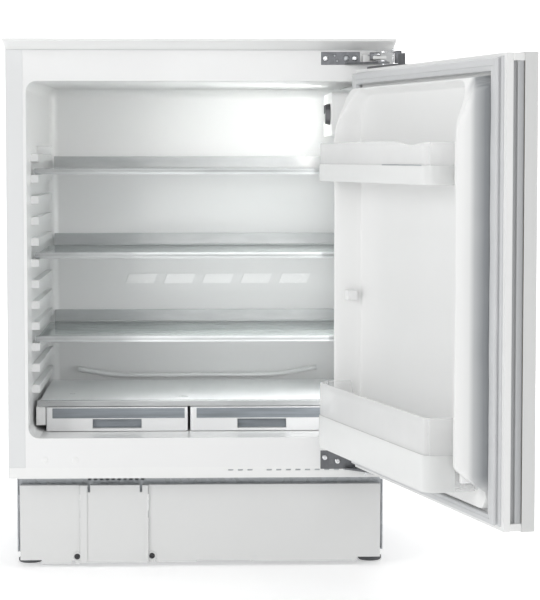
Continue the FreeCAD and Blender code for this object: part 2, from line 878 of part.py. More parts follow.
# ---------------------------------------------------------------- base, plinth and feet
def make_base_rails():
    """Two channel rails along the sides, with a hole at each levelling foot."""
    rails = []
    for side, sign in (("left", "-1"), ("right", "1")):
        body = new_body(f"rail_{side}")
        outer = f"{sign} * rail_outer"
        web = f"{sign} * (rail_outer - rail_gauge)"
        inner = f"{sign} * rail_inner"
        roof = "floor_plate"
        profile = [
            (outer, "rail_foot"), (inner, "rail_foot"), (inner, "rail_foot + rail_gauge"),
            (web, "rail_foot + rail_gauge"), (web, f"{roof} - rail_gauge"), (inner, f"{roof} - rail_gauge"),
            (inner, roof), (outer, roof),
        ]
        pad(body, "XZ_Plane", profile, ("rail_front", "back_plane"))
        holes = [rod(f"rail_{side}_{name}_hole", "z", (f"{sign} * foot_x", place),
                     "stem_radius + running_gap",
                     ("rail_foot - 1", "rail_foot + rail_gauge + 1"))
                 for name, place in (("front", "front_foot_y"), ("rear", "rear_foot_y"))]
        rails.append(cut(f"rail_{side}_drilled", body, holes))
    return rails


def make_base_frame():
    """The two rails, joined by a slotted channel behind the gap above the plinth."""
    body = new_body("channel_solid")
    front = "rail_front + channel_gap"
    profile = [
        (front, "channel_foot"), (f"{front} + channel_depth", "channel_foot"),
        (f"{front} + channel_depth", "channel_top"),
        (f"{front} + channel_depth - rail_gauge", "channel_top"),
        (f"{front} + channel_depth - rail_gauge", "channel_foot + rail_gauge"),
        (f"{front} + rail_gauge", "channel_foot + rail_gauge"),
        (f"{front} + rail_gauge", "channel_top"), (front, "channel_top"),
    ]
    pad(body, "YZ_Plane", profile, ("-rail_outer + rail_gauge", "rail_outer - rail_gauge"))
    slots = []
    for index in range(DIMENSIONS["channel_slots"]):
        left = f"channel_slot_left + {index} * channel_slot_pitch"
        slots.append(block(f"channel_slot_{index}", (left, f"{left} + channel_slot_width"),
                           ("rail_front", f"{front} + 2 * rail_gauge"),
                           ("channel_slot_foot", "channel_slot_top")))
    channel = cut("front_channel_slotted", body, slots)
    node("base_frame", fuse("base_frame", make_base_rails() + [channel]))


LEFT_CLIPS = (-240,)
RIGHT_CLIPS = (-31, 28, 98, 220)


def plinth_panel(name, low, high, front, foot, tabs):
    """A plinth panel: a thin face with a return and clips along its top."""
    back = f"{front} + plinth_skin"
    face = block(f"{name}_face", (low, high), (front, back), (foot, "plinth_top"))
    clips = [block(f"{name}_clip_{x}", (f"{x} - clip_half", f"{x} + clip_half"),
                   (front, "rail_front + clip_reach"), ("clip_foot", "plinth_top")) for x in tabs]
    lip = block(f"{name}_lip", (low, high), (front, f"{front} + plinth_return"),
                ("plinth_top - plinth_skin", "plinth_top"))
    return fuse(f"{name}_bent", [face, lip] + clips)


def make_plinth():
    """Left and right panels, and the cover between them that gives access to the air grille."""
    through = ("cut_front", "cut_back")
    left = plinth_panel("plinth_left", "-plinth_half", "cover_left - cover_gap", "plinth_front",
                        "plinth_left_foot", LEFT_CLIPS)
    step = block("plinth_left_step", ("-plinth_half - 1", "left_step_end"), through, (0, "left_step_top"))
    notch = block("plinth_left_notch", ("left_notch_start", "left_notch_end"), through,
                  (0, "left_notch_top"))
    holes = screw_holes("plinth_hole", PLINTH_SCREWS, "plinth_front - screw_sink")
    node("left_plinth_panel", cut("left_plinth_panel", left, [step, notch, holes[0]]))

    right = plinth_panel("plinth_right", "cover_right + cover_gap", "plinth_half", "plinth_front",
                         "plinth_right_foot", RIGHT_CLIPS)
    step = block("plinth_right_step", ("right_step_start", "plinth_half + 1"), through,
                 (0, "right_step_top"))
    recess = block("plinth_right_recess", ("recess_start", "recess_end"), through, (0, "recess_top"))
    notch = block("plinth_right_notch", ("right_notch_start", "right_notch_end"), through,
                  (0, "right_notch_top"))
    node("right_plinth_panel", cut("right_plinth_panel", right, [step, recess, notch, holes[1]]))

    front = "plinth_front - cover_proud"
    cover = plinth_panel("plinth_cover", "cover_left", "cover_right", front, "plinth_right_foot", ())
    ridges = [block(f"cover_ridge_{side}", span, (f"{front} - ridge_proud", front),
                    ("plinth_right_foot", "plinth_top"))
              for side, span in (("left", ("cover_left", "cover_left + left_ridge")),
                                 ("right", ("cover_right - right_ridge", "cover_right")))]
    notches = [block(f"{low}_cut", (low, f"{low} + cover_notch_width"), through,
                     ("cover_notch_foot", "plinth_top + 1"))
               for low in ("cover_notch_left", "cover_notch_right")]
    node("plinth_cover", cut("plinth_cover", fuse("cover_ridged", [cover] + ridges), notches))


def make_feet():
    """Four levelling feet: a round pad and a threaded stem up into the rail."""
    for label, x, y in (
        ("left_front_foot", "-foot_x", "front_foot_y"),
        ("right_front_foot", "foot_x", "front_foot_y"),
        ("left_rear_foot", "-foot_x", "rear_foot_y"),
        ("right_rear_foot", "foot_x", "rear_foot_y"),
    ):
        foot = turned(f"{label}_turned", [
            (0, 0), ("foot_radius - foot_edge", 0), ("foot_radius", "foot_edge"),
            ("foot_radius", "foot_rise / 1.5"), ("foot_radius - foot_shoulder", "foot_rise"),
            ("nut_radius", "foot_rise"), ("nut_radius", "rail_foot - nut_gap"),
            ("stem_radius", "rail_foot - nut_gap"),
            ("stem_radius", "stem_top"), (0, "stem_top")])
        node(label, move(foot, x=x, y=y))


# ---------------------------------------------------------------- refrigeration
def make_compressor():
    """The compressor on its shelf, with rubber mounts, terminal box, tray and drain."""
    plate = block("compressor_shelf_sheet", ("-rail_inner - sheet_lap", "rail_inner + sheet_lap"),
                  ("shelf_plate_front", "back_plane"),
                  ("rail_foot + rail_gauge", "rail_foot + 2 * rail_gauge"))
    lip = block("compressor_shelf_lip", ("-rail_inner", "rail_inner"),
                ("shelf_plate_front", "shelf_plate_front + rail_gauge"),
                ("rail_foot + rail_gauge", "rail_foot + plate_lip"))
    node("compressor_shelf", fuse("compressor_shelf", [plate, lip]))
    can = turned("compressor_can", [
        (0, 0), ("compressor_radius - can_foot_inset", 0), ("compressor_radius", "can_shoulder"),
        ("compressor_radius", "seam_foot"),
        ("compressor_radius + seam_proud", "seam_foot + seam_proud / 2"),
        ("compressor_radius + seam_proud", "seam_foot + seam_rise - seam_proud / 2"),
        ("compressor_radius", "seam_foot + seam_rise"), ("compressor_radius", "can_wall_top"),
        ("compressor_radius - dome_inset", "dome_rise"),
        ("compressor_radius - crown_inset", "crown_rise"),
        (0, "compressor_top - compressor_foot")])
    move(can, x="compressor_x", y="compressor_y", z="compressor_foot")
    base = block("compressor_feet", ("compressor_x - base_half_x", "compressor_x + base_half_x"),
                 ("compressor_y - base_half_y", "compressor_y + base_half_y"),
                 ("compressor_foot", "compressor_foot + base_gauge"))
    node("compressor", fuse("compressor", [can, base]))
    mounts = []
    for i, (side, end) in enumerate(((-1, -1), (1, -1), (-1, 1), (1, 1))):
        centre = (f"compressor_x + {side} * mount_dx", f"compressor_y + {end} * mount_dy")
        mounts.append(rod(f"mount_{i}", "z", centre, "mount_radius",
                          ("rail_foot + 2 * rail_gauge", "compressor_foot")))
    node("compressor_mounts", group("compressor_mounts", mounts))
    flank = "compressor_x - compressor_radius"
    node("terminal_box",
         block("terminal_box",
               (f"{flank} - box_far", f"{flank} - box_near"),
               ("compressor_y - box_half", "compressor_y + box_half"),
               ("compressor_foot + base_gauge", "compressor_foot + box_rise")))
    place = ("gland_x", "gland_z")
    gland = fuse("gland_solid", [
        rod("gland_barrel", "y", place, "gland_radius",
            ("back_plane - gland_front", "back_plane + gland_reach")),
        rod("gland_collar", "y", place, "gland_radius + gland_flange",
            ("back_plane - 2 * gland_plate", "back_plane - gland_plate")),
        block("gland_bracket", ("gland_x - gland_half", "gland_x + gland_half"),
              ("back_plane - gland_plate", "back_plane"),
              ("rail_foot + 2 * rail_gauge", "gland_z + gland_rise")),
    ])
    bore = rod("gland_bore", "y", place, "cord_hole_radius",
               ("back_plane - gland_front - overlap", "back_plane + gland_reach + overlap"))
    node("mains_gland", cut("mains_gland", gland, [bore]))
    outer = block("tray_outer", ("compressor_x - tray_half_x", "compressor_x + tray_half_x"),
                  ("compressor_y - tray_half_y", "compressor_y + tray_half_y"),
                  ("compressor_top", "compressor_top + tray_rise"))
    inner = block("tray_inner",
                  ("compressor_x - tray_half_x + tray_wall", "compressor_x + tray_half_x - tray_wall"),
                  ("compressor_y - tray_half_y + tray_wall", "compressor_y + tray_half_y - tray_wall"),
                  ("compressor_top + tray_wall", "compressor_top + tray_rise + 1"))
    node("evaporation_tray", cut("evaporation_tray", outer, [inner]))
    place = ("compressor_x", "drain_y")
    tube = rod("drain_outer", "z", place, "drain_radius + drain_wall",
               ("niche_top - drain_drop", "hump_top - liner_wall"))
    bore = rod("drain_bore", "z", place, "drain_radius", ("niche_top - drain_drop - overlap", "hump_top"))
    node("drain_tube", cut("drain_tube", tube, [bore]))


def make_condenser():
    """A serpentine of tube behind the rear panel, with wires across it."""
    parts = []
    for run in range(DIMENSIONS["coil_runs"]):
        level = f"coil_low + {run} * coil_pitch"
        parts.append(rod(f"coil_run_{run}", "x", ("coil_y", level), "coil_radius",
                         ("-coil_half", "coil_half")))
        if run + 1 < DIMENSIONS["coil_runs"]:
            bend = doc.addObject("Part::Torus", f"coil_bend_{run}")
            bind(bend, "Radius1", "coil_pitch / 2")
            bind(bend, "Radius2", "coil_radius")
            bend.Angle3 = 180
            side = 1 if run % 2 == 0 else -1
            bend.Placement.Rotation = Rotation(X_AXIS, 90) * Rotation(Z_AXIS, -90 * side)
            move(bend, x=f"{side} * coil_half", y="coil_y", z=f"{level} + coil_pitch / 2")
            parts.append(bend)
    coil = fuse("condenser_coil", parts)
    top = "coil_low + (coil_runs - 1) * coil_pitch + wire_over"
    wires = []
    for index in range(2 * DIMENSIONS["wire_spaces"] + 1):
        place = (f"-coil_half + wire_edge + {index} * (coil_half - wire_edge) / wire_spaces",
                 "coil_y - coil_radius - wire_radius")
        wires.append(rod(f"wire_{index}", "z", place, "wire_radius", ("coil_low - wire_over", top)))
    node("condenser", group("condenser", [coil] + wires))


# ---------------------------------------------------------------- hinges
HINGE_SCREWS = (("upper_left", 194, 798), ("upper_right", 239, 798), ("lower_left", 194, 178),
                ("lower_right", 214, 172))
SMALL_HOLES = ((208, 802), (212, 794))
PLINTH_SCREWS = (("plinth_left", -195, 16.5), ("plinth_right", -77, 17))


def screw(name, x, front, z, gap="0"):
    """A round-headed screw driven backwards, its head's face at the front, or the hole it needs."""
    head = rod(f"{name}_head", "y", (x, z), f"screw_head + {gap}", (front, f"{front} + screw_sink"))
    shank = rod(f"{name}_shank", "y", (x, z), f"screw_shank + {gap}", (front, f"{front} + screw_reach"))
    return fuse(name, [head, shank])


def screw_holes(prefix, places, front):
    return [screw(f"{prefix}_{name}", x, front, z) for name, x, z in places]


def hinge_arm(name, foot, top):
    """The flat arm that carries the pin forward of the cabinet, over or under the door."""
    body = new_body(name)
    points = [("plate_right - 22", "plate_gauge"), ("plate_right - 22", -8), ("pin_x - 9", "pin_y - 5"),
              ("pin_x + 6", "pin_y - 6"), ("pin_x + 10", "pin_y + 4"), ("plate_right + 26", -6),
              ("plate_right + 16", -2), ("plate_right", 0), ("plate_right", "plate_gauge")]
    pad(body, "XY_Plane", points, (foot, top))
    return body


def plate_faces(name):
    """The two hinge plates that are let into the cabinet's front, flush with it."""
    upper = block(f"{name}_upper", ("plate_left", "plate_right"), (0, "plate_gauge"),
                  ("upper_plate_foot", "upper_plate_top"))
    lower = new_body(f"{name}_lower")
    profile = [("plate_left", "lower_plate_foot"), ("plate_right", "lower_plate_foot"),
               ("plate_right", "lower_plate_foot + lower_plate_step"),
               ("plate_left + lower_plate_neck", "lower_plate_top"), ("plate_left", "lower_plate_top")]
    pad(lower, "XZ_Plane", profile, (0, "plate_gauge"))
    return [upper, lower]


def make_hinges():
    """Cabinet plates with their arms and pins, and the door's own brackets."""
    screws = screw_holes("screw", HINGE_SCREWS, "0") + screw_holes("screw", PLINTH_SCREWS,
                                                                   "plinth_front - screw_sink")
    node("fixing_screws", group("fixing_screws", screws))
    holes = screw_holes("plate_hole", HINGE_SCREWS, "0")

    face, lower_face = plate_faces("plate")
    arm = hinge_arm("upper_arm", "upper_plate_foot", "upper_plate_foot + plate_gauge")
    eye = rod("upper_eye_hole", "z", ("pin_x", "pin_y"), "pin_radius", ("door_top", "upper_plate_top"))
    through = ("-overlap", "plate_gauge + overlap")
    ring = rod("upper_face_hole", "y", ("ring_x", HINGE_SCREWS[0][2]), "ring_radius", through)
    small = [rod(f"upper_small_hole_{i}", "y", place, "small_radius", through)
             for i, place in enumerate(SMALL_HOLES)]
    node("upper_hinge_plate",
         cut("upper_hinge_plate", fuse("upper_plate", [face, arm]), [eye, ring] + small + holes[:2]))
    node("upper_hinge_cover",
         block("upper_hinge_cover",
               ("plate_right + hinge_cover_start", "plate_right + hinge_cover_end"),
               ("hinge_cover_front", "hinge_cover_back"),
               ("upper_plate_foot + plate_gauge", "upper_plate_foot + hinge_cover_rise")))
    arm = hinge_arm("lower_arm", "lower_plate_foot", "lower_plate_foot + plate_gauge")
    eye = rod("lower_eye_hole", "z", ("pin_x", "pin_y"), "pin_radius",
              ("lower_plate_foot - 1", "lower_plate_foot + plate_gauge + 1"))
    node("lower_hinge_plate",
         cut("lower_hinge_plate", fuse("lower_plate", [lower_face, arm]), [eye] + holes[2:]))

    upper_pin = fuse("upper_pin", [
        rod("upper_pin_rod", "z", ("pin_x", "pin_y"), "pin_radius",
            ("door_top + pin_gap", "upper_plate_foot + plate_gauge + pin_head")),
        rod("upper_pin_head", "z", ("pin_x", "pin_y"), "pin_radius + pin_head",
            ("upper_plate_foot + plate_gauge", "upper_plate_foot + plate_gauge + pin_head")),
    ])
    lower_pin = fuse("lower_pin", [
        rod("lower_pin_rod", "z", ("pin_x", "pin_y"), "pin_radius",
            ("lower_plate_foot - pin_head", "door_foot - pin_gap")),
        rod("lower_pin_head", "z", ("pin_x", "pin_y"), "pin_radius + pin_head",
            ("lower_plate_foot - pin_head", "lower_plate_foot")),
    ])
    node("hinge_pins", group("hinge_pins", [upper_pin, lower_pin]))

    for label, low, high, flange_low, flange_high in (
        ("upper_hinge_bracket", "door_top", "door_top + strap_gauge", "door_top + strap_gauge",
         "door_top + upper_flange"),
        ("lower_hinge_bracket", "door_foot - strap_gauge", "door_foot", "door_foot - lower_flange",
         "door_foot - strap_gauge"),
    ):
        strap = block(f"{label}_strap", ("pin_x - strap_start", "pin_x + strap_end"),
                      ("pin_y - strap_front", "pin_y + strap_back"),
                      (low, high))
        eye = rod(f"{label}_eye", "z", ("pin_x", "pin_y"), "eye_radius", (low, high))
        flange = block(f"{label}_flange", ("pin_x - strap_start", "pin_x - flange_end"),
                       ("pin_y + flange_front", "pin_y + flange_front + flange_depth"),
                       (flange_low, flange_high))
        bore = rod(f"{label}_bore", "z", ("pin_x", "pin_y"), "pin_radius + running_gap",
                   (low + " - 1", high + " + 1"))
        door_node(label, cut(label, fuse(f"{label}_solid", [strap, eye, flange]), [bore]))


# ---------------------------------------------------------------- door
def make_door_skin():
    """The steel tray that is the door's outer face."""
    outer = block("skin_outer", ("-door_half", "door_half"), ("door_face", "door_face + door_return"),
                  ("door_foot", "door_top"))
    inner = block("skin_inner", ("-door_half + door_skin", "door_half - door_skin"),
                  ("door_face + door_skin", "door_face + door_return + 1"),
                  ("door_foot + door_skin", "door_top - door_skin"))
    door_node("door_outer_panel", cut("door_outer_panel", outer, [inner]))


def dyke_form(name, inset):
    """The raised plateau and its two side dykes, or the same inset by the liner's wall."""
    body = new_body(name)
    face = f"plateau_face - {inset}"
    reach = f"dyke_reach - {inset}"
    profile = [
        (f"plateau_right - {inset}", f"door_inner - {inset}"),
        (f"plateau_right - {inset}", f"right_crease - {inset}"),
        (f"plateau_right - right_lean - {inset}", reach),
        (f"plateau_right - right_crest + {inset}", reach),
        (f"plateau_right - crest_far + {inset}", face),
        (f"plateau_left + pan_edge - {inset}", face),
        (f"plateau_left + crest_far - {inset}", reach),
        (f"plateau_left + crest_near + {inset}", reach),
        (f"plateau_left + wall_lean + {inset}", f"wall_step - {inset}"),
        (f"plateau_left + {inset}", f"wall_crease - {inset}"),
        (f"plateau_left + {inset}", f"door_inner - {inset}"),
    ]
    pad(body, "XY_Plane", profile, (f"plateau_foot + {inset}", f"plateau_top - {inset}"))
    beyond = "2 * dyke_reach"
    for start, near, far, end in (
        ("dyke_top_start", f"plateau_top - {inset}", f"plateau_top - dyke_top_slope - {inset}",
         "plateau_top + dyke_foot_slope"),
        (face, f"dyke_foot + {inset}", f"dyke_foot + dyke_foot_slope + {inset}",
         "plateau_foot - dyke_foot_slope"),
    ):
        slope = [(start, near), (f"dyke_reach + 1 - {inset}", far), (beyond, far), (beyond, end),
                 (start, end)]
        pocket(body, "YZ_Plane", slope, ("-case_width/2", "case_width/2"))
    return body


LUG_LEVELS = {"upper": "upper_balcony_foot + lug_lift", "middle": "spare_lug_foot",
              "lower": "lower_balcony_foot + lug_lift"}


def lugs(prefix, gap, levels=("upper", "middle", "lower"), drop="0"):
    """The lugs on the dykes that carry the balconies, or the slots that fit over them."""
    parts = []
    for level in levels:
        foot = LUG_LEVELS[level]
        for side, low, high in (("left", f"plateau_left + left_lug_root - {gap}", f"-lug_tip + {gap}"),
                                ("right", f"lug_tip - {gap}", f"plateau_right - right_lug_root + {gap}")):
            parts.append(block(f"{prefix}_{level}_{side}", (low, high),
                               (f"lug_front - {gap}", f"lug_front + lug_width + {gap}"),
                               (f"{foot} - {drop}", f"{foot} + lug_rise + {gap}")))
    return parts


def make_door_core():
    """The door's moulded liner, the foam behind it, its end caps and its seal."""
    flange_low = ("-door_half + sheet_inset", "door_foot + 1")
    sheet = block("door_liner_sheet", ("-door_half + sheet_inset", "door_half - sheet_inset"),
                  ("door_inner - liner_wall", "door_inner"),
                  ("door_foot + 1", "door_top - 1"))
    rim_outer = block("door_rim_outer", ("-door_half + sheet_inset", "door_half - sheet_inset"),
                      ("door_inner - rim_depth", "door_inner"),
                      (flange_low[1], "door_top - 1"))
    rim_inner = block("door_rim_inner",
                      ("-door_half + sheet_inset + liner_wall", "door_half - sheet_inset - liner_wall"),
                      ("door_inner - rim_depth - 1", "door_inner - liner_wall"),
                      ("door_foot + 3", "door_top - 3"))
    rim = cut("door_rim", rim_outer, [rim_inner])
    form = dyke_form("dykes", "0")
    core = dyke_form("dykes_core", "liner_wall")
    door_node("door_inner_liner",
              cut("door_inner_liner", fuse("door_liner_solid", [sheet, rim, form] + lugs("lug", "0")),
                  [core]))

    foam = block("door_foam_block", ("-door_half + door_skin", "door_half - door_skin"),
                 ("door_face + door_skin", "door_inner - liner_wall"),
                 ("door_foot + cap_rise", "door_top - cap_rise"))
    trench = cut("door_foam_edge",
                 block("trench_outer", ("-door_half", "door_half"),
                       ("door_face + door_return", "door_inner"),
                       ("door_foot", "door_top")),
                 [block("trench_inner", ("-door_half + trench_inset", "door_half - trench_inset"),
                        ("door_face", 0), ("door_foot", "door_top"))])
    door_node("door_foam", fuse("door_foam", [cut("door_foam_core", foam, [trench]), core]))

    caps = []
    for name, low, high in (("top_cap", "door_top - cap_rise", "door_top - door_skin"),
                            ("bottom_cap", "door_foot + door_skin", "door_foot + cap_rise")):
        body = block(name, ("-door_half + door_skin", "door_half - door_skin"),
                     ("door_face + door_skin", "door_inner - rim_depth"), (low, high))
        caps.append(body)
    door_node("door_end_caps", group("door_end_caps", caps))

    outer = block("gasket_outer_block", ("-gasket_outer", "gasket_outer"), ("door_inner", "gasket_face"),
                  ("door_foot + seal_low", "door_top - seal_high"))
    inner = block("gasket_inner_block", ("-gasket_inner", "gasket_inner"),
                  ("door_inner - 1", "gasket_face + 1"),
                  ("plateau_foot - seal_gap_low", "plateau_top + seal_gap_high"))
    door_node("door_gasket", cut("door_gasket", outer, [inner]))


def is_far(edge):
    """Whether an upright edge is on the bin's outer side, away from the door."""
    return edge.Vertexes[0].Point.y > DIMENSIONS["balcony_reach"] / 2


def balcony_form(name, grow, start, span):
    """The bin's plan with round outer corners, grown by a margin, between two heights."""
    body = new_body(name)
    side = f"balcony_half + ({grow})"
    pad(body, "XY_Plane", rectangle((f"-({side})", start), (side, f"balcony_reach + ({grow})")), span)
    round_edges(body, f"balcony_corner + ({grow})", lambda edge: runs_along(edge, Z_AXIS) and is_far(edge))
    return body


def make_balcony(label, foot, split, top):
    """A lift-off door shelf: a clear bin with a band round its lower edge."""
    level = label.split("_")[0]
    low_root = "balcony_root + balcony_wall"
    solid = balcony_form(f"{label}_solid", "0", "balcony_root", (foot, top))
    void = balcony_form(f"{label}_void", "-balcony_wall", low_root,
                        (f"{foot} + balcony_wall", f"{top} + 1"))
    gap = block(f"{label}_back_gap", ("-balcony_half + balcony_post", "balcony_half - balcony_post"),
                ("balcony_root - 1", f"{low_root} + 1"), (f"{foot} + balcony_back", f"{top} + 1"))
    door_node(label, cut(label, solid, [void, gap] + lugs(f"{label}_slot", "lug_gap", [level], "lug_drop")))

    band_start = "lug_front + lug_width + lug_clear"
    band = balcony_form(f"{label}_band", "balcony_band", band_start, (foot, split))
    bore = balcony_form(f"{label}_band_bore", "0", f"{band_start} - 1", (f"{foot} - 1", f"{split} + 1"))
    door_node(f"{label}_trim", cut(f"{label}_trim", band, [bore]))


# ---------------------------------------------------------------- whole fridge
def main():
    fixings = plate_faces("plate_recess") + screw_holes("fixing_hole", HINGE_SCREWS, "0")
    drain = rod("drain_hole", "z", ("compressor_x", "drain_y"), "drain_radius", ("niche_top", "hump_top + 1"))
    drain_path = rod("drain_path", "z", ("compressor_x", "drain_y"), "drain_radius + drain_wall",
                     ("niche_top - 1", "hump_top - liner_wall"))
    make_outer_case()
    skin, frame = make_liner(fixings, drain)
    make_foam(skin, frame, fixings, drain_path)
    make_back_and_base(drain_path)
    make_top_trim()
    make_vent_trim(fixings)
    for label, foot in (("upper_shelf", "upper_shelf_foot"), ("middle_shelf", "middle_shelf_foot"),
                        ("lower_shelf", "lower_shelf_foot")):
        make_shelf(label, foot)
    make_crisper_parts()
    make_lamp_unit()
    make_base_frame()
    make_plinth()
    make_feet()
    make_compressor()
    make_condenser()
    make_hinges()
    make_door_skin()
    make_door_core()
    make_balcony("upper_balcony", "upper_balcony_foot", "upper_balcony_split", "upper_balcony_top")
    make_balcony("lower_balcony", "lower_balcony_foot", "lower_balcony_split", "lower_balcony_top")


def check_and_export():
    """Stop on any failed object or bad shape, then write one file for each sub-part."""
    doc.recompute()
    for item in doc.Objects:
        if "Invalid" in item.State or "Error" in item.State:
            raise RuntimeError(f"{item.Name} failed: {item.State}")
    for item in NODES:
        if item.Shape.isNull() or not item.Shape.isValid() or not item.Shape.Solids:
            raise RuntimeError(f"{item.Label} has no valid solid")
    os.makedirs("parts", exist_ok=True)
    for item in NODES:
        item.Shape.exportStep(f"parts/{item.Label}.step")
        box = item.Shape.BoundBox
        places = (box.XMin, box.XMax, box.YMin, box.YMax, box.ZMin, box.ZMax)
        print(f"{item.Label:24s} {len(item.Shape.Solids):2d} solids {item.Shape.Volume / 1000:10.2f} cm3",
              " ".join(f"{place:8.1f}" for place in places))


main()
check_and_export()
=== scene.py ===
import json
import math

import bpy
import numpy as np
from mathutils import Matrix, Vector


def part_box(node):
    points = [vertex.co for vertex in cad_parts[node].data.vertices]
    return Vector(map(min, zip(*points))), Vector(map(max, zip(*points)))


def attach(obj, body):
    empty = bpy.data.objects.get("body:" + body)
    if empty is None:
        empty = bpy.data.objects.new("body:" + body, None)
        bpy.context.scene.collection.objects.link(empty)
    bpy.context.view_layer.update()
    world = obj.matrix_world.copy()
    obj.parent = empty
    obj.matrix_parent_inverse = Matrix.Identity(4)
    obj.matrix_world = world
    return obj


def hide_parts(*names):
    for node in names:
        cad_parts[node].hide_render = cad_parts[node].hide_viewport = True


# Under counter fridge, door open. Metres; +Z up, +Y to the back, +X to the right from the front.
# Door pieces are worked out with the door shut and then swung about the hinge pins.

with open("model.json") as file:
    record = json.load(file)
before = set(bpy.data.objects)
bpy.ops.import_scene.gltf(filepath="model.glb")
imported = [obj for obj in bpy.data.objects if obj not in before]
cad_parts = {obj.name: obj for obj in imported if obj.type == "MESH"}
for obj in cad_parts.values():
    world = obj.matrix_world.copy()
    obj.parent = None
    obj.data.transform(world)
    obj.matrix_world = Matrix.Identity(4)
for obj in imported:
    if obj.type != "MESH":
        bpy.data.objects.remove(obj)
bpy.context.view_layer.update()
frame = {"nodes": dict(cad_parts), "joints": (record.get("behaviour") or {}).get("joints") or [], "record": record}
MM = 0.001
HINGE = next(joint for joint in frame["joints"] if joint["name"] == "door_hinge")
PIN = np.array(HINGE["pos_m"])
SWING = -math.radians(HINGE["range_deg"][0])


# ---------------------------------------------------------------- places
def turn_about_pin(points, angle):
    """Points turned by an angle about the vertical line of the hinge pins."""
    x, y = points[..., 0] - PIN[0], points[..., 1] - PIN[1]
    c, s = math.cos(angle), math.sin(angle)
    return np.stack([PIN[0] + c * x - s * y, PIN[1] + s * x + c * y, points[..., 2]], -1)


def swing(points):
    """From the shut door's places to where they stand at rest."""
    return turn_about_pin(points, SWING)


def swung(shape):
    """A closed shape's points and faces, taken from the shut door's place to rest."""
    points, faces = shape
    return swing(points), faces


def box(node):
    """A node's lowest and highest corners at rest, as arrays."""
    low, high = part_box(node)
    return np.array(low), np.array(high)


def shut_box(node):
    """A door node's lowest and highest corners with the door shut."""
    mesh = frame["nodes"][node].data
    points = np.empty(len(mesh.vertices) * 3, np.float32)
    mesh.vertices.foreach_get("co", points)
    shut = turn_about_pin(points.reshape(-1, 3).astype(float), -SWING)
    return shut.min(0), shut.max(0)


# ---------------------------------------------------------------- meshes
def grid_faces(rows, columns, round_rows=False, round_columns=False):
    """Four-sided faces between neighbours of a grid, joined up in a direction that is closed."""
    i = np.arange(rows if round_rows else rows - 1)[:, None]
    j = np.arange(columns if round_columns else columns - 1)[None, :]
    near, far = i * columns, (i + 1) % rows * columns
    following = (j + 1) % columns
    return np.stack([near + j, near + following, far + following, far + j], -1).reshape(-1, 4).tolist()


def piece(name, shape, body, finish, sharp=35):
    """A piece from points and faces that closes on itself, its faces turned outwards."""
    points, faces = shape
    points = np.asarray(points, float)
    corners = np.array([[f[0], f[k], f[k + 1]] for f in faces for k in range(1, len(f) - 1)])
    a, b, c = points[corners[:, 0]], points[corners[:, 1]], points[corners[:, 2]]
    if np.einsum("ij,ij->", a, np.cross(b, c)) < 0:
        faces = [face[::-1] for face in faces]
    mesh = bpy.data.meshes.new(name)
    mesh.from_pydata(points.tolist(), [], faces)
    mesh.materials.append(finish)
    mesh.shade_smooth()
    mesh.set_sharp_from_angle(angle=math.radians(sharp))
    made = bpy.data.objects.new(name, mesh)
    bpy.context.scene.collection.objects.link(made)
    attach(made, body)
    return made


def join(shapes):
    """Several closed shapes as one."""
    points, faces, start = [], [], 0
    for own_points, own_faces in shapes:
        points.append(np.asarray(own_points, float).reshape(-1, 3))
        faces += [[index + start for index in face] for face in own_faces]
        start += len(points[-1])
    return np.concatenate(points), faces


def capped_rings(rings):
    """Closed loops joined one to the next, with a fan to the middle at each end."""
    count, around, _ = rings.shape
    points = np.concatenate([rings.reshape(-1, 3), rings[0].mean(0)[None], rings[-1].mean(0)[None]])
    faces = grid_faces(count, around, round_columns=True)
    first, last = count * around, count * around + 1
    low = np.arange(around)
    following = (low + 1) % around
    base = (count - 1) * around
    faces += np.stack([following, low, np.full(around, first)], -1).tolist()
    faces += np.stack([base + low, base + following, np.full(around, last)], -1).tolist()
    return points, faces


def ring_of_rings(rings):
    """Closed loops joined one to the next and the last to the first."""
    count, around, _ = rings.shape
    return rings.reshape(-1, 3), grid_faces(count, around, True, True)


def slab(front, back):
    """A closed skin between two matching grids, joined along their four sides."""
    rows, columns, _ = front.shape
    size = rows * columns
    index = np.arange(size).reshape(rows, columns)
    rim = np.concatenate([index[0, :-1], index[:-1, -1], index[-1, :0:-1], index[:0:-1, 0]])
    following = np.roll(rim, -1)
    faces = grid_faces(rows, columns)
    faces += [[size + i for i in face[::-1]] for face in faces]
    faces += np.stack([following, rim, rim + size, following + size], -1).tolist()
    return np.concatenate([front.reshape(-1, 3), back.reshape(-1, 3)]), faces


def rounded_block(low, high, radius, steps=3):
    """A block with round edges: a small sphere's eighths moved out to the inner block's corners."""
    low, high = np.asarray(low, float), np.asarray(high, float)
    middle, inner = (low + high) / 2, (high - low) / 2 - radius
    quarter = np.linspace(0, math.pi / 2, steps + 1)
    around = np.concatenate([quarter + k * math.pi / 2 for k in range(4)])
    side_x = np.repeat([1, -1, -1, 1], steps + 1)
    side_y = np.repeat([1, 1, -1, -1], steps + 1)
    up = np.concatenate([quarter - math.pi / 2, quarter])
    side_z = np.repeat([-1, 1], steps + 1)
    flat = np.maximum(np.cos(up), 1e-6)[:, None] * radius
    x = middle[0] + side_x * inner[0] + flat * np.cos(around)
    y = middle[1] + side_y * inner[1] + flat * np.sin(around)
    z = np.broadcast_to((middle[2] + side_z * inner[2] + radius * np.sin(up))[:, None], x.shape)
    return capped_rings(np.stack([x, y, z], -1))


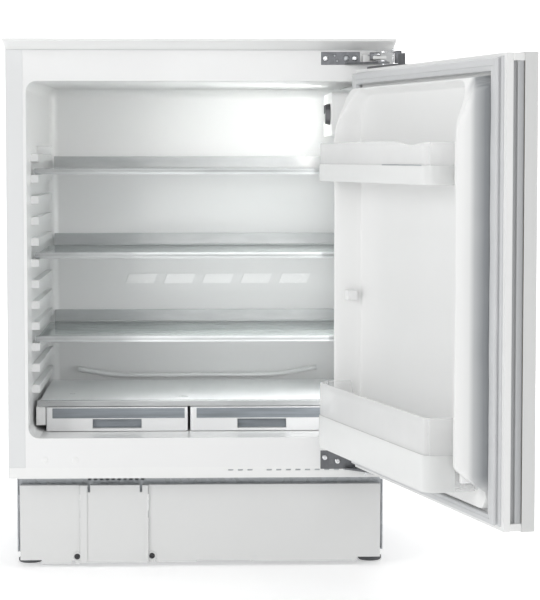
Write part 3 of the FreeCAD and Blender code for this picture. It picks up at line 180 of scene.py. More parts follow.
def turned_rings(centre, axis, profile, around):
    """A profile of radius and height carried round an axis: at each height a ring of radius cos, radius sin."""
    radius, height = np.array(profile, float).T
    angle = np.linspace(0, 2 * math.pi, around, endpoint=False)
    ring_a = np.maximum(radius, 1e-5)[:, None] * np.cos(angle)
    ring_b = np.maximum(radius, 1e-5)[:, None] * np.sin(angle)
    along = np.broadcast_to(height[:, None], ring_a.shape)
    order = {"x": (along, ring_a, ring_b), "y": (ring_b, along, ring_a), "z": (ring_a, ring_b, along)}[axis]
    return np.asarray(centre, float) + np.stack(order, -1)


def turned(centre, axis, profile, around=32):
    """A solid turned about an axis from a profile of radius and height."""
    return capped_rings(turned_rings(centre, axis, profile, around))


def screw_head(centre, axis, radius, rise):
    """A low dome with a cross recess pressed in, standing out along the axis."""
    dome = [(radius, 0), (radius, rise * 0.35), (radius * 0.86, rise * 0.8), (radius * 0.55, rise),
            (radius * 0.34, rise), (radius * 0.26, rise * 0.4), (radius * 0.05, rise * 0.3)]
    return turned(centre, axis, dome, 24)


def tube(path, radius, side, around=12):
    """A round section carried along a path that lies in the plane square to side."""
    path = np.asarray(path, float)
    along = np.gradient(path, axis=0)
    along /= np.linalg.norm(along, axis=1)[:, None]
    across = np.cross(along, np.asarray(side, float))
    across /= np.linalg.norm(across, axis=1)[:, None]
    up = np.cross(across, along)
    angle = np.linspace(0, 2 * math.pi, around, endpoint=False)[None, :, None]
    round_it = np.cos(angle) * across[:, None] + np.sin(angle) * up[:, None]
    return capped_rings(path[:, None] + radius * round_it)


def bent(corners, radius, steps=8):
    """A path of straight runs through corners, each turned on an arc that starts a radius before it."""
    corners = np.asarray(corners, float)
    path = [corners[0]]
    t = np.linspace(0, 1, steps + 1)[:, None]
    for before, corner, after in zip(corners, corners[1:], corners[2:]):
        start = corner + (before - corner) / np.linalg.norm(before - corner) * radius
        end = corner + (after - corner) / np.linalg.norm(after - corner) * radius
        path += list((1 - t) ** 2 * start + 2 * t * (1 - t) * corner + t ** 2 * end)
    path.append(corners[-1])
    return np.array(path)


def plan_outline(low, high, radii, inset=0.0, steps=8, runs=24):
    """A rectangle's outline, an arc at each corner and an even run between, drawn in by an inset."""
    (x0, y0), (x1, y1) = np.asarray(low) + inset, np.asarray(high) - inset
    corners = ((x0, y0, 1, 1, math.pi), (x1, y0, -1, 1, 1.5 * math.pi),
               (x1, y1, -1, -1, 0), (x0, y1, 1, -1, 0.5 * math.pi))
    arcs = []
    for (x, y, in_x, in_y, start), radius in zip(corners, radii):
        r = max(radius - inset, 0.0002)
        angle = start + np.linspace(0, math.pi / 2, steps + 1)
        arcs.append(np.stack([x + in_x * r + r * np.cos(angle), y + in_y * r + r * np.sin(angle)], -1))
    share = np.linspace(0, 1, runs + 1, endpoint=False)[1:, None]
    loop = []
    for arc, following in zip(arcs, arcs[1:] + arcs[:1]):
        loop += [arc, arc[-1] + (following[0] - arc[-1]) * share]
    return np.concatenate(loop)


def smooth(value, start, end):
    """0 before start, 1 after end, and a soft S between."""
    t = np.clip((value - start) / (end - start), 0, 1)
    return t * t * (3 - 2 * t)


def soft_min(a, b, width):
    """The lower of two heights, with the corner between them rounded."""
    t = np.clip(0.5 + (b - a) / (2 * width), 0, 1)
    return b * (1 - t) + a * t - width * t * (1 - t)


def graded(stops, near, far):
    """Places from the first stop to the last, close together by each stop and wide apart between."""
    places = [stops[0]]
    for start, end in zip(stops, stops[1:]):
        count = max(2, int(math.ceil(2 * math.sqrt((end - start) / near))))
        count = min(count, int(math.ceil((end - start) / near)))
        count = max(count, int(math.ceil((end - start) / far)))
        share = (1 - np.cos(np.linspace(0, math.pi, count + 1))) / 2
        places += list(start + (end - start) * share[1:])
    return np.array(places)


def soften(node, width):
    """Welds a CAD node's triangles and rounds its sharp edges, without touching its mesh."""
    item = frame["nodes"][node]
    weld = item.modifiers.new("weld", "WELD")
    weld.merge_threshold = 1e-5
    bevel = item.modifiers.new("bevel", "BEVEL")
    bevel.width = width
    bevel.segments = 2
    bevel.limit_method = "ANGLE"
    bevel.angle_limit = math.radians(35)
    bevel.use_clamp_overlap = True
    bevel.harden_normals = True


# ---------------------------------------------------------------- shader maths
class Wire:
    """A socket in a shader; arithmetic written with it adds Math nodes."""

    def __init__(self, finish, socket):
        self.finish = finish
        self.socket = socket

    def reckon(self, operation, first, second):
        return self.finish.node("ShaderNodeMath", {"operation": operation}, {0: first, 1: second})

    def __add__(self, other):
        return self.reckon("ADD", self, other)

    def __radd__(self, other):
        return self.reckon("ADD", other, self)

    def __sub__(self, other):
        return self.reckon("SUBTRACT", self, other)

    def __rsub__(self, other):
        return self.reckon("SUBTRACT", other, self)

    def __mul__(self, other):
        return self.reckon("MULTIPLY", self, other)

    def __rmul__(self, other):
        return self.reckon("MULTIPLY", other, self)

class Finish:
    """One material. node() makes any node from its settings and the values or wires of its sockets."""

    def __init__(self, name):
        self.material = bpy.data.materials.new(name)
        self.material.use_nodes = True
        self.tree = self.material.node_tree
        self.tree.nodes.clear()
        self.place = self.node("ShaderNodeTexCoord", output="Object")

    def node(self, kind, settings=None, sockets=None, output=0, stops=None):
        made = self.tree.nodes.new(kind)
        for key, value in (settings or {}).items():
            setattr(made, key, value)
        if stops:
            ramp = made.color_ramp
            while len(ramp.elements) < len(stops):
                ramp.elements.new(0.5)
            for element, (place, level) in zip(ramp.elements, stops):
                element.position = place
                element.color = (level, level, level, 1)
        for key, value in (sockets or {}).items():
            self.feed(made.inputs[key], value)
        return Wire(self, made.outputs[output])

    def feed(self, socket, value):
        """Links a wire to a socket, or sets the socket's own value."""
        if isinstance(value, Wire):
            self.tree.links.new(value.socket, socket)
        else:
            socket.default_value = value

    def stretched(self, scale):
        """The place with each axis scaled, so that a pattern runs long one way."""
        return self.node("ShaderNodeMapping", None, {"Vector": self.place, "Scale": scale})

    def noise(self, scale, detail=3.0, rough=0.55, place=None):
        """Cloudy noise between 0 and 1."""
        sockets = {"Vector": place or self.place, "Scale": scale, "Detail": detail, "Roughness": rough}
        return self.node("ShaderNodeTexNoise", None, sockets)

    def cells(self, scale, output="Distance"):
        """Scattered cells, as the distance to the nearest cell's middle or as its own colour."""
        return self.node("ShaderNodeTexVoronoi", None, {"Vector": self.place, "Scale": scale}, output)

    def ramp(self, value, *stops):
        """A value taken through stops of place and level."""
        return self.node("ShaderNodeValToRGB", None, {"Fac": value}, stops=stops)

    def mix(self, share, first, second):
        """One colour turning into another by a share."""
        sockets = {"Factor": share, 6: opaque(first), 7: opaque(second)}
        return self.node("ShaderNodeMix", {"data_type": "RGBA"}, sockets, 2)

    def bump(self, height, depth, strength):
        """A bump whose height of 1 stands depth metres proud."""
        sockets = {"Height": height, "Distance": depth, "Strength": strength}
        return self.node("ShaderNodeBump", None, sockets, "Normal")

    def principled(self, sockets):
        return self.node("ShaderNodeBsdfPrincipled", None, sockets, "BSDF")

    def surface(self, shader):
        """Ends the material in a shader."""
        out = self.tree.nodes.new("ShaderNodeOutputMaterial")
        self.tree.links.new(shader.socket, out.inputs["Surface"])
        return self.material


def opaque(colour):
    """A colour with its alpha, or a wire as it is."""
    return colour if isinstance(colour, Wire) else (*colour, 1.0)


def shade(colour, factor):
    """A colour made darker or paler by a factor, never past white."""
    return tuple(min(1.0, channel * factor) for channel in colour)


# ---------------------------------------------------------------- finishes
def moulded(name, colour, rough, drift=0.035, sheen=0.0):
    """Moulded plastic: a fine grain, slow ripples in the wall, faint colour drift and uneven gloss."""
    finish = Finish(name)
    slow, fine, ripple = finish.noise(2.3, 2.0), finish.noise(1100.0, 2.0, 0.7), finish.noise(11.0, 3.0, 0.5)
    tone = finish.mix(finish.ramp(slow, (0.3, 0.0), (0.75, 1.0)), colour, shade(colour, 1 - drift))
    scuff = finish.ramp(finish.noise(46.0, 6.0, 0.72), (0.56, 0.0), (0.82, 1.0))
    rises = fine * 0.0006 + ripple * 0.6
    shader = finish.principled({
        "Base Color": tone, "Roughness": rough + scuff * 0.12 + (slow - 0.5) * 0.1,
        "Coat Weight": sheen, "Normal": finish.bump(rises, 0.8 * MM, 0.35)})
    return finish.surface(shader)


def painted(name, colour, rough=0.34, peel=420.0):
    """Powder-painted sheet: orange peel, a hardly visible wave in the sheet and a few dull patches."""
    finish = Finish(name)
    skin, wave = finish.noise(peel, 2.0, 0.5), finish.noise(5.0, 1.0)
    dull = finish.ramp(finish.noise(9.0, 5.0, 0.65), (0.5, 0.0), (0.8, 1.0))
    tone = finish.mix(dull * 0.5, colour, shade(colour, 0.965))
    shader = finish.principled({
        "Base Color": tone, "Roughness": rough + dull * 0.14 + skin * 0.05,
        "Normal": finish.bump(skin * 0.05 + wave, 0.7 * MM, 0.3)})
    return finish.surface(shader)


def zinc_sheet(name, colour, spangle):
    """Galvanised sheet: flat crystals of slightly different grey and gloss, with white bloom between."""
    finish = Finish(name)
    crystal = finish.cells(spangle, output="Color")
    level = finish.node("ShaderNodeRGBToBW", None, {0: crystal})
    bloom = finish.ramp(finish.noise(14.0, 5.0, 0.7), (0.55, 0.0), (0.85, 1.0))
    tone = finish.mix(level, shade(colour, 0.8), shade(colour, 1.15))
    tone = finish.mix(bloom * 0.5, tone, (0.78, 0.79, 0.79))
    shader = finish.principled({
        "Base Color": tone, "Metallic": 0.9, "Roughness": 0.3 + level * 0.16 + bloom * 0.2,
        "Normal": finish.bump(level * 0.1 + finish.noise(6.0), 0.5 * MM, 0.3)})
    return finish.surface(shader)


def plated(name, colour, rough):
    """Plated steel: rolling streaks along the part, worn brighter in places, with dark specks."""
    finish = Finish(name)
    streaks = finish.noise(1.0, 4.0, 0.6, finish.stretched((40.0, 900.0, 900.0)))
    wear = finish.ramp(finish.noise(70.0, 5.0, 0.7), (0.48, 0.0), (0.72, 1.0))
    speck = finish.ramp(finish.cells(520.0), (0.05, 1.0), (0.16, 0.0))
    tone = finish.mix(wear * 0.6, colour, shade(colour, 1.5))
    tone = finish.mix(speck * 0.4, tone, shade(colour, 0.35))
    shader = finish.principled({
        "Base Color": tone, "Metallic": 1.0, "Roughness": rough + streaks * 0.16 + speck * 0.2,
        "Normal": finish.bump(streaks * 0.05, 0.4 * MM, 0.5)})
    return finish.surface(shader)


def dipped(name, colour):
    """Thick black dip paint: soft runs downwards, dust in the gloss."""
    finish = Finish(name)
    runs = finish.noise(1.0, 3.0, 0.5, finish.stretched((60.0, 60.0, 9.0)))
    dust = finish.ramp(finish.noise(160.0, 6.0, 0.75), (0.5, 0.0), (0.8, 1.0))
    tone = finish.mix(dust * 0.45, colour, (0.16, 0.155, 0.15))
    shader = finish.principled({
        "Base Color": tone, "Roughness": 0.27 + dust * 0.35,
        "Normal": finish.bump(runs + dust * 0.05, 0.6 * MM, 0.4)})
    return finish.surface(shader)


def soft_rubber(name, colour, rough):
    """Soft seal or mount rubber: a matt skin with fine pores and a faint bloom."""
    finish = Finish(name)
    pores = finish.cells(1400.0)
    bloom = finish.ramp(finish.noise(24.0, 5.0, 0.7), (0.45, 0.0), (0.8, 1.0))
    tone = finish.mix(bloom * 0.5, colour, shade(colour, 1.12))
    shader = finish.principled({
        "Base Color": tone, "Roughness": rough + bloom * 0.15,
        "Normal": finish.bump(pores * 0.06 + finish.noise(40.0), 0.4 * MM, 0.25)})
    return finish.surface(shader)


def clear_moulding(name, colour, body, rough, lines=0.0):
    """Clear plastic: mostly seen through, whiter where it is met at a slant, with flow lines and haze."""
    finish = Finish(name)
    flow = finish.noise(1.0, 3.0, 0.6, finish.stretched((16.0, 16.0, 60.0)))
    haze = finish.noise(18.0, 4.0, 0.6)
    through = finish.node("ShaderNodeBsdfTransparent", None, {"Color": (*shade(colour, 1.08), 1.0)}, "BSDF")
    skin = finish.principled({
        "Base Color": finish.mix(haze, colour, shade(colour, 0.95)), "Roughness": rough + haze * 0.08,
        "Normal": finish.bump(flow + haze * 0.3, 0.5 * MM, 0.3)})
    slant = finish.node("ShaderNodeLayerWeight", None, {"Blend": 0.45}, "Facing")
    share = body + slant * 0.45 + (haze - 0.5) * 0.08 + flow * lines
    return finish.surface(finish.node("ShaderNodeMixShader", None, {0: share, 1: through, 2: skin}, "Shader"))


def toughened_glass(name):
    """Flat glass: clear square on, a mirror at a slant, faintly green, with smears and dust."""
    finish = Finish(name)
    wiped = finish.noise(1.0, 5.0, 0.65, finish.stretched((7.0, 22.0, 7.0)))
    smear = finish.ramp(wiped, (0.42, 0.0), (0.85, 1.0))
    through = finish.node("ShaderNodeBsdfTransparent", None, {"Color": (0.965, 0.975, 0.972, 1.0)}, "BSDF")
    skin = finish.principled({
        "Base Color": finish.mix(smear, (0.62, 0.68, 0.67), (0.82, 0.84, 0.84)),
        "Roughness": 0.05 + smear * 0.18,
        "Normal": finish.bump(smear, 0.05 * MM, 0.2)})
    fresnel = finish.node("ShaderNodeFresnel", None, {"IOR": 1.5})
    share = 0.06 + fresnel * 0.8 + smear * 0.12
    return finish.surface(finish.node("ShaderNodeMixShader", None, {0: share, 1: through, 2: skin}, "Shader"))


def cut_foam(name):
    """Rigid foam: open cells on a cut face, yellowed in patches."""
    finish = Finish(name)
    cell = finish.cells(520.0)
    patch = finish.noise(7.0, 4.0)
    tone = finish.mix(patch, (0.86, 0.79, 0.58), (0.78, 0.66, 0.40))
    shader = finish.principled({
        "Base Color": finish.mix(cell * 0.5, tone, (0.55, 0.46, 0.28)), "Roughness": 0.85 + patch * 0.1,
        "Normal": finish.bump(cell, 0.6 * MM, 0.7)})
    return finish.surface(shader)


def lit_bulb(name):
    """A frosted bulb, warm where its filament glows behind the glass."""
    finish = Finish(name)
    frost = finish.noise(900.0, 2.0, 0.6)
    glow = finish.ramp(finish.noise(40.0, 2.0), (0.3, 0.2), (0.8, 1.0))
    shader = finish.principled({
        "Base Color": finish.mix(glow, (0.95, 0.9, 0.8), (1.0, 0.97, 0.9)), "Roughness": 0.35 + frost * 0.2,
        "Emission Color": finish.mix(glow, (1.0, 0.82, 0.55), (1.0, 0.93, 0.8)), "Emission Strength": 0.8,
        "Normal": finish.bump(frost, 0.05 * MM, 0.5)})
    return finish.surface(shader)


def smoked_pane(name, colour):
    """A smoke-grey pane with paler streaks in its depth."""
    finish = Finish(name)
    streak = finish.noise(1.0, 4.0, 0.6, finish.stretched((8.0, 8.0, 160.0)))
    tone = finish.mix(finish.ramp(streak, (0.3, 0.0), (0.7, 1.0)), colour, shade(colour, 1.45))
    shader = finish.principled({
        "Base Color": tone, "Roughness": 0.16 + streak * 0.14, "Normal": finish.bump(streak, 0.15 * MM, 0.3)})
    return finish.surface(shader)


def door_lining(name, colour, grey):
    """The door's moulded lining, with painted shade: grey is mixed in down in the channel beside the seal, as its
    own map says, standing in for the shade there.
    """
    finish = Finish(name)
    painted_shade = finish.node("ShaderNodeAttribute", {"attribute_name": "channel"}, output="Fac")
    slow, fine, ripple = finish.noise(2.6, 2.0), finish.noise(1000.0, 2.0, 0.7), finish.noise(9.0, 3.0)
    tone = finish.mix(finish.ramp(slow, (0.3, 0.0), (0.75, 1.0)), colour, shade(colour, 0.965))
    # Painted shade: the colour turns to the grey where the channel map is high, in place of the shade beside the
    # seal.
    tone = finish.mix(painted_shade * (0.85 + ripple * 0.3), tone, grey)
    shader = finish.principled({
        "Base Color": tone, "Roughness": 0.3 + (slow - 0.5) * 0.12 + painted_shade * 0.1,
        "Normal": finish.bump(fine * 0.02 + ripple, 0.7 * MM, 0.3)})
    return finish.surface(shader)


WHITE = (0.86, 0.865, 0.86)
COOL_WHITE = (0.85, 0.853, 0.853)
SHEET_GREY = (0.74, 0.75, 0.755)
FINISHES = {
    "case_steel": painted("case_paint", SHEET_GREY),
    "liner_white": moulded("liner_moulding", COOL_WHITE, rough=0.3, sheen=0.15),
    # The door lining's grey is painted shade for the channel beside the seal.
    "door_lining": door_lining("door_lining", (0.87, 0.875, 0.87), (0.30, 0.315, 0.33)),
    "foam": cut_foam("foam"),
    "evaporator_aluminium": plated("evaporator", (0.70, 0.71, 0.72), 0.4),
    "galvanised_sheet": zinc_sheet("galvanised", (0.62, 0.64, 0.66), 75.0),
    "trim_white": moulded("trim_moulding", WHITE, rough=0.36),
    "shelf_glass": toughened_glass("shelf_glass"),
    "shelf_trim": clear_moulding("shelf_trim", (0.57, 0.585, 0.59), 0.60, rough=0.14, lines=0.3),
    "crisper_clear": clear_moulding("crisper_moulding", (0.95, 0.955, 0.96), 0.92, rough=0.2),
    "lamp_white": moulded("lamp_moulding", WHITE, rough=0.33),
    "lens_frosted": clear_moulding("lens", (0.92, 0.92, 0.88), 0.55, rough=0.4),
    "bulb_glass": lit_bulb("bulb"),
    "control_grey": moulded("control_grey", (0.20, 0.21, 0.22), rough=0.45),
    "knob_black": moulded("knob_black", (0.03, 0.03, 0.033), rough=0.4, drift=0.3),
    "button_white": moulded("button_white", WHITE, rough=0.22),
    "rail_steel": zinc_sheet("rail_zinc", (0.50, 0.52, 0.54), 130.0),
    "plinth_white": painted("plinth_paint", (0.74, 0.745, 0.74), rough=0.4, peel=600.0),
    "foot_grey": moulded("foot_grey", (0.12, 0.125, 0.13), rough=0.55, drift=0.2),
    "compressor_black": dipped("compressor_paint", (0.028, 0.028, 0.031)),
    "mount_rubber": soft_rubber("mount_rubber", (0.03, 0.03, 0.03), 0.55),
    "box_black": moulded("box_black", (0.035, 0.035, 0.037), rough=0.5, drift=0.25),
    "tray_grey": moulded("tray_grey", (0.26, 0.27, 0.28), rough=0.5, drift=0.15),
    "condenser_black": dipped("condenser_paint", (0.04, 0.04, 0.043)),
    "hinge_steel": plated("hinge_zinc", (0.17, 0.175, 0.185), 0.3),
    "pin_steel": plated("hinge_bright", (0.72, 0.73, 0.75), 0.16),
    "screw_black": dipped("screw_black", (0.03, 0.03, 0.033)),
    "door_steel": painted("door_paint", (0.70, 0.705, 0.70)),
    "gasket_grey": soft_rubber("seal", (0.60, 0.61, 0.62), 0.42),
    "balcony_clear": clear_moulding("balcony_moulding", (0.94, 0.945, 0.945), 0.22, rough=0.12),
    "balcony_white": clear_moulding("balcony_band", (0.86, 0.87, 0.865), 0.72, rough=0.2),
    "smoked_pane": smoked_pane("smoked_pane", (0.20, 0.22, 0.24)),
    "panel_white": moulded("panel_white", (0.97, 0.97, 0.97), rough=0.25, sheen=0.3),
    "edge_grey": moulded("edge_grey", (0.50, 0.51, 0.52), rough=0.45),
}
COVER_PLATE = clear_moulding("cover_plate", (0.95, 0.955, 0.965), 0.84, rough=0.25)
SLOT_OF = {entry["node"]: entry["material_slot"] for entry in frame["record"]["subparts"]}
for name, item in frame["nodes"].items():
    item.data.materials.clear()
    item.data.materials.append(COVER_PLATE if name == "crisper_cover_glass" else FINISHES[SLOT_OF[name]])

# How wide each CAD node's sharp edges are rounded, in millimetres.
SOFT_EDGES = {
    "top_trim": 1.0, "outer_case": 0.5, "inner_liner": 1.2, "lamp_housing": 0.8, "lamp_lens": 0.3,
    "base_frame": 0.4, "door_outer_panel": 0.6, "door_end_caps": 1.5, "upper_hinge_plate": 0.4,
    "lower_hinge_plate": 0.4, "upper_hinge_bracket": 0.6, "lower_hinge_bracket": 0.6, "evaporation_tray": 0.5,
    "terminal_box": 2.0, "compressor": 1.5, "compressor_shelf": 0.5, "crisper_runners": 1.2,
    "crisper_cover_trim": 0.6, "rear_panel": 0.3, "thermostat": 0.8, "thermostat_knob": 0.6,
    "crisper_cover_glass": 0.4, "base_plate": 0.3,
}
for level in ("upper", "middle", "lower"):
    SOFT_EDGES[f"{level}_shelf_glass"] = 0.4
    SOFT_EDGES[f"{level}_shelf_front_trim"] = 0.8
    SOFT_EDGES[f"{level}_shelf_rear_trim"] = 0.6
for node, width in SOFT_EDGES.items():
    soften(node, width * MM)


# ---------------------------------------------------------------- door
def outside_round_box(x, z, low, high, radius):
    """How far a place lies outside a rectangle with round corners; inside it is below 0."""
    half_x, half_z = (high[0] - low[0]) / 2 - radius, (high[1] - low[1]) / 2 - radius
    off_x = np.abs(x - (low[0] + high[0]) / 2) - half_x
    off_z = np.abs(z - (low[1] + high[1]) / 2) - half_z
    outside = np.hypot(np.maximum(off_x, 0), np.maximum(off_z, 0))
    return outside + np.minimum(np.maximum(off_x, off_z), 0) - radius


# The lining's outlines as (x, z) of two corners, and its levels over the shut door's plane.
PLATEAU = ((-261 * MM, 192 * MM), (259 * MM, 751 * MM))
PLATEAU_ROUND = 20 * MM
PAN = ((-236 * MM, 150 * MM), (238 * MM, 739 * MM))
PAN_ROUND = 46 * MM
FLANGE, PAN_LEVEL, CREST = -12 * MM, -1 * MM, 38 * MM
DYKE_HEAD, DYKE_FOOT = 10 * MM, 216 * MM
HEAD_SLOPE, FOOT_SLOPE = 0.45, 1.3
DYKE_EASE, PLATEAU_EASE = 8 * MM, 5 * MM
WALL_DEPTHS = [0, 2.2 * MM, 3.4 * MM, 11 * MM, 60 * MM]
WALL_HEIGHTS = [FLANGE, 13 * MM, 17 * MM, 48 * MM, 90 * MM]
LINING_WALL = 1.8 * MM


def lining_height(x, z):
    """The lining's height over the shut door's plane: a flange, a steep wall in two steps up to the plateau,
    and a pan with round corners sunk between two side dykes that slope away at top and bottom."""
    crest = soft_min(CREST, DYKE_HEAD + (PLATEAU[1][1] - z) * HEAD_SLOPE, DYKE_EASE)
    crest = soft_min(crest, PAN_LEVEL + (z - DYKE_FOOT) * FOOT_SLOPE, DYKE_EASE)
    crest = np.maximum(crest, PAN_LEVEL)
    rise = smooth(outside_round_box(x, z, *PAN, PAN_ROUND), -2 * MM, 9 * MM)
    inside = PAN_LEVEL + (crest - PAN_LEVEL) * rise
    depth = -outside_round_box(x, z, *PLATEAU, PLATEAU_ROUND)
    wall = np.interp(depth, WALL_DEPTHS, WALL_HEIGHTS)
    return np.maximum(soft_min(wall, inside, PLATEAU_EASE), FLANGE)


def painted_shade_share(x, z, height):
    """Share of painted shade: 1 down in the channel beside the seal on the free side, fading up its wall and at
    its foot.
    """
    depth = -outside_round_box(x, z, *PLATEAU, PLATEAU_ROUND)
    low_down = 1 - smooth(height, 8 * MM, 25 * MM)
    free_side = 1 - smooth(x, -250 * MM, -230 * MM)
    return smooth(depth, -2 * MM, 0.5 * MM) * low_down * free_side * smooth(z, 200 * MM, 240 * MM)


def door_lining_piece():
    """The whole moulded lining as one height over a grid, its edge turned back round the foam, and the foam
    under it as a slab between the steel skin and the lining."""
    low, high = shut_box("door_inner_liner")
    bends_x = [low[0], -262 * MM, -249 * MM, -235 * MM, 0.0, 237 * MM, 248 * MM, 260 * MM, high[0]]
    bends_z = [low[2], 191 * MM, 200 * MM, 216 * MM, 250 * MM, 480 * MM, 690 * MM, 738 * MM, 752 * MM, high[2]]
    x, z = graded(bends_x, 0.5 * MM, 16 * MM), graded(bends_z, 0.5 * MM, 20 * MM)
    grid_x, grid_z = np.meshgrid(np.concatenate([x[:1], x, x[-1:]]), np.concatenate([z[:1], z, z[-1:]]))
    height = lining_height(grid_x, grid_z)
    edge = np.zeros(height.shape, bool)
    edge[[0, -1]] = edge[:, [0, -1]] = True
    lip = low[1]
    front = np.stack([grid_x, np.where(edge, lip, height), grid_z], -1)
    back_x = np.clip(grid_x, low[0] + LINING_WALL, high[0] - LINING_WALL)
    back_z = np.clip(grid_z, low[2] + LINING_WALL, high[2] - LINING_WALL)
    back = np.stack([back_x, np.where(edge, lip, height - LINING_WALL), back_z], -1)
    shape = slab(swing(front), swing(back))
    made = piece("door_lining", shape, "door", FINISHES["door_lining"])
    # Painted shade: the channel attribute tells the lining's material where to paint the shade beside the seal.
    painted_shade = painted_shade_share(grid_x, grid_z, height)
    channel = made.data.attributes.new("channel", "FLOAT", "POINT")
    channel.data.foreach_set("value", np.tile(painted_shade.ravel(), 2).astype(np.float32))
    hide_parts("door_inner_liner")

    inset = 7 * MM
    back_x = np.clip(grid_x, low[0] + inset, high[0] - inset)
    back_z = np.clip(grid_z, low[2] + inset, high[2] - inset)
    skin = shut_box("door_outer_panel")[0][1] + 1.4 * MM
    top = np.stack([back_x, height - LINING_WALL - 0.2 * MM, back_z], -1)
    bottom = np.stack([back_x, np.full(height.shape, skin), back_z], -1)
    fill = piece("door_foam_fill", slab(swing(top), swing(bottom)), "door", FINISHES["foam"])
    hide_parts("door_foam")


def frame_loop(profile, middle_x, middle_low, middle_high, scale_low, scale_high, runs=36):
    """A profile carried round the door's four sides and mitred: its across places lie square to each side."""
    across, height = np.array(profile, float).T
    share = np.linspace(0, 1, runs, endpoint=False)[:, None]
    left, right = -(middle_x + across), middle_x + across
    low, high = middle_low - across * scale_low, middle_high + across * scale_high
    corners = [(left, low), (right, low), (right, high), (left, high)]
    rings = []
    for (x0, z0), (x1, z1) in zip(corners, corners[1:] + corners[:1]):
        x, z = x0 + (x1 - x0) * share, z0 + (z1 - z0) * share
        rings.append(np.stack([x, np.broadcast_to(height, x.shape), z], -1))
    return np.concatenate(rings)


# The seal's section as millimetres across and up: a foot, a folded bellows and a grooved head.
SEAL_SECTION = [
    (-8.5, 0), (-7.5, 2), (-9.6, 3.2), (-11, 5), (-11, 8.2), (-9.8, 10.2), (-7.5, 11), (-3.2, 11),
    (-2.6, 10.3), (-2, 11), (6.4, 11), (8.2, 10.2), (8.8, 8.4), (8.2, 6.6), (5.6, 5.8), (5.8, 4.2),
    (9.6, 3.2), (11, 2), (11, 0)]
SEAL_HALF, SEAL_HEIGHT = 11, 11


def door_seal():
    """The magnetic seal: a flat head on a folded bellows, pushed into the lining's flange. Its height along
    the loop dips by a slow cosine times a quick sine."""
    low, high = shut_box("door_gasket")
    base, face = low[1], high[1]
    profile = [(across * MM, base + rise / SEAL_HEIGHT * (face - base)) for across, rise in SEAL_SECTION]
    half_low, half_high = 6.5 * MM, 9.5 * MM
    rings = frame_loop(profile, high[0] - SEAL_HALF * MM, low[2] + half_low, high[2] - half_high,
                       half_low / (SEAL_HALF * MM), half_high / (SEAL_HALF * MM))
    along = np.arange(len(rings))[:, None]
    lift = (rings[..., 1] - base) / (face - base)
    rings[..., 1] -= lift * 0.35 * MM * (1 + np.sin(along * 0.83) * np.cos(along * 0.31))
    made = piece("door_seal", ring_of_rings(swing(rings)), "door", FINISHES["gasket_grey"])
    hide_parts("door_gasket")


def door_edge():
    """The grey strip between the lining's edge and the steel tray, with a groove beside the lining."""
    low, high = shut_box("door_outer_panel")
    lip = shut_box("door_inner_liner")[0][1]
    tray = high[1]
    inset = 2.4 * MM
    section = [(-9, lip - 0.4 * MM), (-5, lip - 0.4 * MM), (-5, lip - 6 * MM), (-0.8, lip - 6.6 * MM),
               (0, lip - 7.4 * MM), (0, tray + 1.2 * MM), (-0.8, tray - 0.5 * MM), (-9, tray - 0.5 * MM)]
    profile = [(across * MM, height) for across, height in section]
    rings = frame_loop(profile, high[0] - inset, low[2] + inset, high[2] - inset, 1.0, 1.0, 2)
    piece("door_edge_strip", ring_of_rings(swing(rings)), "door", FINISHES["edge_grey"])


def door_lugs():
    """Rounded lugs on the dykes' inner walls; the middle pair is free and stands further out."""
    root, level, tall = 243 * MM, 8, 15 * MM
    upper, lower = (shut_box(node)[0][2] + 12 * MM for node in ("upper_balcony", "lower_balcony"))
    shapes = []
    for foot, tip, wide in ((upper, 236.5, 18), (lower, 236.5, 18), (432 * MM, 226, 16)):
        for side in (-1, 1):
            near, far = sorted((side * tip * MM, side * root))
            ends = (near, level * MM, foot), (far, (level + wide) * MM, foot + tall)
            shapes.append(rounded_block(*ends, 1.6 * MM))
    piece("door_lugs", swung(join(shapes)), "door", FINISHES["liner_white"])


def bin_shell(low, high, rim, wall):
    """An open bin: outer wall up, over a rounded rim, inner wall down and across the floor, from one outline
    that is drawn in step by step. The rim's height depends on the place along the outline."""
    foot = low[2]
    radii = (3 * MM, 3 * MM, 20 * MM, 20 * MM)

    def ring(inset, height):
        outline = plan_outline(low[:2], high[:2], radii, inset)
        return np.column_stack([outline, np.broadcast_to(height, len(outline))])

    outline = plan_outline(low[:2], high[:2], radii)
    top = rim(outline[:, 0], outline[:, 1])
    rings = [ring(9 * MM, foot + 0.6 * MM), ring(3.5 * MM, foot), ring(1.2 * MM, foot + 0.5 * MM),
             ring(0, foot + 3 * MM)]
    shares = (0.3, 0.6, 0.9)
    rings += [ring(0, foot + 3 * MM + (top - foot - 4.2 * MM) * share) for share in (*shares, 1.0)]
    rings += [ring(0.5 * MM, top - 0.3 * MM), ring(wall / 2, top), ring(wall - 0.5 * MM, top - 0.3 * MM)]
    inner = foot + wall + 3 * MM
    rings += [ring(wall, inner + (top - 1.2 * MM - inner) * share) for share in (1.0, *shares[::-1], 0.0)]
    rings += [ring(wall + 1.2 * MM, foot + wall + 0.6 * MM), ring(wall + 4 * MM, foot + wall),
              ring(wall + 9 * MM, foot + wall)]
    return capped_rings(np.array(rings))


def band_shell(low, high, wall, back):
    """A band round three sides: a thin section with round edges carried round the bin's outline and capped."""
    radii = (3 * MM, 3 * MM, 21.5 * MM, 21.5 * MM)
    section = [(0.0, 0.12), (0.0, 0.88), (0.35, 1.0), (0.75, 1.0),
               (1.0, 0.9), (1.0, 0.1), (0.75, 0.0), (0.35, 0.0)]
    rings = []
    for across, rise in section:
        outline = plan_outline(low[:2], high[:2], radii, across * wall)
        rings.append(np.column_stack([outline, np.full(len(outline), low[2] + (high[2] - low[2]) * rise)]))
    rings = np.stack(rings, 1)
    keep = rings[:, 0, 1] > back
    start = int(np.argmax(keep & ~np.roll(keep, 1)))
    rings = np.roll(rings, -start, 0)[np.roll(keep, -start)]
    return capped_rings(rings)


